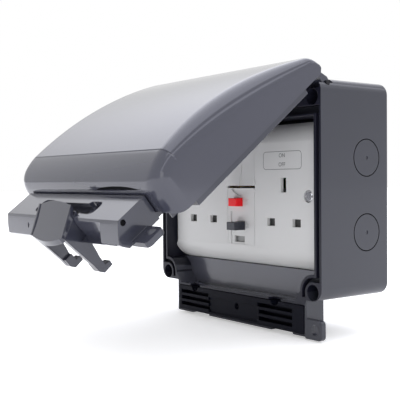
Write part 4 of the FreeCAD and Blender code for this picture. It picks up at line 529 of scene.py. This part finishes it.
def outer_rows():
    """Rows of points of the outer skin, and the number of the grip slot's first row."""
    rows = []
    stations = lid_stations()
    grip = stations.index((nose_down(GRIP["low"]), GRIP["low"]))
    for index, (down, top) in enumerate(stations):
        half = BOX_HALF - corner_turn(down)
        section = cross_section(half, lower_edge(down), top, edge_size(down))
        if grip <= index < grip + len(GRIP_EDGES):
            rows.append(grip_row(section, down, top, GRIP_EDGES[index - grip]))
        else:
            rows.append([(x, down, out) for x, out in section])
    end = [(x, down, RIM + NOSE["low"]) for x, down, out in rows[-1]]
    start = []
    for x, down, out in rows[0]:
        notched = KNUCKLES["inside"] < abs(x) < KNUCKLES["outside"]
        start.append((x, 0, KNUCKLES["high"] if notched else RIM + BACK["lip"]))
    return [start] + rows + [end], grip + 1


def inner_out(down):
    """Height of the inner skin in the middle of the lid."""
    if down <= CREASE["down"]:
        return crown_out(down) - WALL
    past = nose_share(down)
    height = CREASE["out"] - NOSE["out"]
    out = NOSE["out"] + height * math.sqrt(1 - past ** INNER["bend"])
    return out - WALL - INNER["thicker"] * past ** 3


def inner_rows():
    """Rows of points of the inner skin, one for each row of the outer one."""
    rows = []
    for place, top in lid_stations():
        down = INNER["start"] + (INNER["end"] - INNER["start"]) * place / NOSE["end"]
        half = BOX_HALF - WALL - corner_turn(down, WALL)
        edge = edge_size(down) - WALL * INNER["edge"]
        section = cross_section(half, lower_edge(place), inner_out(down), edge)
        rows.append([(x, down, out) for x, out in section])
    end = [(x, down, RIM + NOSE["low"]) for x, down, out in rows[-1]]
    start = [(x, down, RIM + BACK["lip"]) for x, down, out in rows[0]]
    return [start] + rows + [end]


def add_skin(shape, rows, turned=False):
    """A grid of faces over rows of points, wound backwards if turned. Returns its vertices."""
    grid = [[shape.verts.new(lid_place(*point)) for point in row] for row in rows]
    for first, second in zip(grid, grid[1:]):
        for index in range(len(first) - 1):
            corners = [first[index], first[index + 1], second[index + 1], second[index]]
            shape.faces.new(corners[::-1] if turned else corners)
    return grid


def add_ring(shape, first, second):
    """Faces between two closed loops of vertices. Loops are lists of equal length."""
    for index in range(len(first)):
        after = (index + 1) % len(first)
        shape.faces.new((first[index], first[after], second[after], second[index]))


def rim_of(grid):
    """The open edge of a skin, all the way round."""
    right = [row[-1] for row in grid]
    left = [row[0] for row in grid]
    return grid[0] + right[1:] + grid[-1][-2::-1] + left[-2:0:-1]


def sharpen(line):
    """Mark the edges along a line of vertices as crisp."""
    for first, second in zip(line, line[1:]):
        for edge in first.link_edges:
            if edge.other_vert(first) is second:
                edge.smooth = False


def paint_slot_shade(outer, rows, grip):
    """Crisp edges round the grip slot, and painted shade on its upper wall and floor."""
    inside = [column for column, (x, down, out) in enumerate(rows[grip]) if grip_height(x) > 0]
    first = inside[0] - 1
    last = inside[-1] + 1
    for row in range(grip, grip + 2):
        for column in range(first, last):
            corners = {outer[row][column], outer[row][column + 1], outer[row + 1][column]}
            for face in outer[row][column].link_faces:
                if corners <= set(face.verts):
                    # index 1 is the near-black painted shade
                    face.material_index = 1
    for row in range(grip, grip + len(GRIP_EDGES)):
        sharpen(outer[row][first:last + 1])


def add_bosses(shape):
    """Four screw bosses inside the lid."""
    for side in (-1, 1):
        for down in BOSSES["down"]:
            rings = []
            for out in (BOSSES["low"], crown_out(down) - BOSSES["cover"]):
                turns = [math.tau * step / BOSSES["steps"] for step in range(BOSSES["steps"])]
                rings.append([shape.verts.new(lid_place(
                    side * BOSSES["side"] + BOSSES["radius"] * math.cos(turn),
                    down + BOSSES["radius"] * math.sin(turn), out)) for turn in turns])
            add_ring(shape, *rings)
            shape.faces.new(rings[0])
            shape.faces.new(rings[1])


def add_lid_shell():
    """The glossy lid cover: crowned top, crease, rounded band and crisp-edged side fillets, with
    painted shade in the grip slot.
    """
    shape = bmesh.new()
    rows, grip = outer_rows()
    outer = add_skin(shape, rows, turned=True)
    inner = add_skin(shape, inner_rows())
    outside = rim_of(outer)
    inside = rim_of(inner)
    add_ring(shape, outside, inside)
    add_bosses(shape)
    for face in shape.faces:
        face.smooth = True
    paint_slot_shade(outer, rows, grip)
    crease = len(back_stations()) + STEPS["crown"]
    for line in (outer[1], *outer[crease:crease + 3], outer[-2], inner[1], inner[-2],
                 outside, inside):
        sharpen(line)
    bmesh.ops.recalc_face_normals(shape, faces=shape.faces)
    mesh = mesh_of("lid_shell", shape)
    shell = add_piece("lid_shell", mesh, "lid_plastic", "groove")
    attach(shell, "lid")
    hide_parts("lid_cover")


def add_pin_hole_shades():
    """Near-black discs of painted shade in the latch pin's holes, over the pin's ends, sunk in
    the housing's two end faces.
    """
    low, high = [mm(corner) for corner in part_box("latch_pin")]
    middle = (low + high) / 2
    radius = ((high.z - low.z) / 2 + PIN_HOLE_SHADE["gap"]) / 1000
    for side, name in ((-1, "pin_hole_shade_left"), (1, "pin_hole_shade_right")):
        shape = bmesh.new()
        bmesh.ops.create_cone(shape, cap_ends=True, segments=PIN_HOLE_SHADE["steps"], radius1=radius,
                              radius2=radius, depth=PIN_HOLE_SHADE["length"] / 1000)
        place = Vector((side * (HOUSING_HALF - PIN_HOLE_SHADE["sunk"]), middle.y, middle.z)) / 1000
        turn = Matrix.Translation(place) @ Matrix.Rotation(math.radians(90), 4, "Y")
        bmesh.ops.transform(shape, matrix=turn, verts=shape.verts)
        end = add_piece(name, mesh_of(name, shape), "groove")
        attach(end, "lid")


def add_springs():
    """The return springs: each deforming node's mesh copied into a piece of its own on the box,
    in place of the node.
    """
    for joint in frame["record"]["behaviour"]["joints"]:
        for entry in joint.get("deforming_nodes", []):
            node = entry["node"]
            coil = add_piece(node + "_coil", frame["nodes"][node].data.copy())
            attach(coil, "box")
            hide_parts(node)
            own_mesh(coil)


# Print and lettering on the plate, in row coordinates in millimetres
PLATE_FRONT = 48.3
PRINT_LIFT = 0.06
LABEL = {"left": 21.6, "right": 55, "low": 12, "high": 22.9, "corner": 2.4, "line": 0.32,
         "steps": 8}
PRINTED = {"lift": PRINT_LIFT, "depth": 0.02, "size": 3.4, "material": "print"}
RAISED = {"lift": 0, "depth": 0.2, "size": 4, "material": "white_plastic"}
LETTERING = (("label_on", "ON", 38.3, 20.3, PRINTED), ("label_off", "OFF", 38.3, 14.9, PRINTED),
             ("letter_t", "T", 6.4, -8, RAISED), ("letter_r", "R", 6.4, -23, RAISED))


def plate_point(x, z, lift):
    return Vector((x / 1000, -(PLATE_FRONT + lift) / 1000, z / 1000))


def label_outline(inset):
    """Points round the label's edge, with round corners, as (x, z)."""
    radius = LABEL["corner"] - inset
    points = []
    for corner, (sx, sz) in enumerate(((1, -1), (1, 1), (-1, 1), (-1, -1))):
        x = LABEL["right"] - LABEL["corner"] if sx > 0 else LABEL["left"] + LABEL["corner"]
        z = LABEL["high"] - LABEL["corner"] if sz > 0 else LABEL["low"] + LABEL["corner"]
        for step in range(LABEL["steps"] + 1):
            angle = math.radians(90 * (corner - 1 + step / LABEL["steps"]))
            points.append((x + radius * math.cos(angle), z + radius * math.sin(angle)))
    return points


def add_label_frame():
    """A thin line round the label."""
    shape = bmesh.new()
    rings = [[shape.verts.new(plate_point(x, z, PRINT_LIFT)) for x, z in label_outline(inset)]
             for inset in (0, LABEL["line"])]
    add_ring(shape, *rings)
    thing = add_piece("label_frame", mesh_of("label_frame", shape), "print")
    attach(thing, "box")


def add_text(name, words, x, z, style):
    """Lettering on the plate, centred on a point."""
    data = bpy.data.curves.new(name, "FONT")
    data.body = words
    data.size = style["size"] / 1000
    data.align_x = "CENTER"
    data.align_y = "CENTER"
    data.extrude = style["depth"] / 1000
    letters = bpy.data.objects.new(name, data)
    scene.collection.objects.link(letters)
    evaluated = letters.evaluated_get(bpy.context.evaluated_depsgraph_get())
    mesh = bpy.data.meshes.new_from_object(evaluated)
    bpy.data.objects.remove(letters)
    upright = Matrix.Rotation(math.radians(90), 4, "X")
    mesh.transform(Matrix.Translation(plate_point(x, z, style["lift"])) @ upright)
    mesh.materials.clear()
    thing = add_piece(name, mesh, style["material"])
    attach(thing, "box")


def add_label():
    add_label_frame()
    for lettering in LETTERING:
        add_text(*lettering)


# Studio: floor and lamp in metres, strengths where 1 is white
FLOOR = {"height": -0.0845, "half": 6, "cells": 8, "dark": (0.93, 0.93, 0.93),
         "light": (0.96, 0.96, 0.96), "noise": (2, 2), "rough": 0.9, "glow": 0.22,
         "seen_glow": 0.4}
LAMP = {"place": (0.9, -0.9, 0.25), "aim": (0, -0.05, -0.02), "size": 0.5, "power": 0.8}
WHITE = (1, 1, 1)
ROOM = 0.85
OVERHEAD = {"strength": 2.15, "tint": (0.91, 0.92, 1)}

# Edges of the two lights overhead: a direction, and how far along it they start and are full
SOFT_BOX = (((0.35, 1, 0), -0.36, -0.3), ((0, 0, 1), 0.22, 0.72), ((-1, 0, 0), -0.4, -0.3))
STRIP = (((1, 0, 0), 0.52, 0.55), ((-1, 0, 0), -0.66, -0.62), ((0, 0, 1), 0.3, 0.5))


def add_floor():
    shape = bmesh.new()
    bmesh.ops.create_grid(shape, x_segments=FLOOR["cells"], y_segments=FLOOR["cells"],
                          size=FLOOR["half"])
    mesh = mesh_of("floor", shape)
    floor = bpy.data.objects.new("floor", mesh)
    floor.location = (0, 0, FLOOR["height"])
    scene.collection.objects.link(floor)
    nodes = Finish("floor")
    nodes.mottle(FLOOR["dark"], FLOOR["light"], FLOOR["noise"])
    nodes.set("Roughness", FLOOR["rough"])
    nodes.set("Emission Color", (*WHITE, 1))
    seen = nodes.add("ShaderNodeLightPath").outputs["Is Camera Ray"]
    glow = nodes.spread(seen, FLOOR["glow"], FLOOR["seen_glow"], 0, 1)
    nodes.link(glow, nodes.shader.inputs["Emission Strength"])
    mesh.materials.append(nodes.material)


def overhead_light(nodes, view, edges):
    """Share of a light overhead in a direction of view: 1 inside all its soft edges."""
    share = None
    for direction, start, end in edges:
        along = nodes.add("ShaderNodeVectorMath", operation="DOT_PRODUCT")
        along.inputs[1].default_value = direction
        nodes.link(view, along.inputs[0])
        side = nodes.spread(along.outputs["Value"], 0, 1, start, end, "SMOOTHSTEP")
        share = side if share is None else nodes.combine("MULTIPLY", share, side)
    return share


def add_world():
    """Pale room with a large soft box and a strip overhead. The camera sees plain white."""
    world = bpy.data.worlds.new("studio")
    world.use_nodes = True
    nodes = Nodes(world.node_tree)
    back = world.node_tree.nodes["Background"]
    view = nodes.add("ShaderNodeTexCoord").outputs["Generated"]
    share = nodes.combine("MAXIMUM", overhead_light(nodes, view, SOFT_BOX),
                          overhead_light(nodes, view, STRIP))
    nodes.link(nodes.colours(share, WHITE, OVERHEAD["tint"]), back.inputs["Color"])
    strength = nodes.spread(share, ROOM, OVERHEAD["strength"], 0, 1, "SMOOTHSTEP")
    seen = nodes.add("ShaderNodeMix")
    path = nodes.add("ShaderNodeLightPath")
    nodes.link(path.outputs["Is Camera Ray"], seen.inputs["Factor"])
    nodes.link(strength, seen.inputs[NUMBERS["first"]])
    seen.inputs[NUMBERS["second"]].default_value = 1
    nodes.link(seen.outputs[NUMBERS["mixed"]], back.inputs["Strength"])
    scene.world = world


def add_lamp():
    """A soft lamp in front of the plate, on the camera's side."""
    data = bpy.data.lights.new("front", "AREA")
    data.size = LAMP["size"]
    data.energy = LAMP["power"]
    lamp = bpy.data.objects.new("front", data)
    lamp.location = LAMP["place"]
    lamp.rotation_mode = "QUATERNION"
    aim = Vector(LAMP["aim"]) - Vector(LAMP["place"])
    lamp.rotation_quaternion = aim.to_track_quat("-Z", "Y")
    scene.collection.objects.link(lamp)


add_camera()
dress_nodes()
add_lid_shell()
add_pin_hole_shades()
add_springs()
add_label()
add_floor()
add_world()
add_lamp()
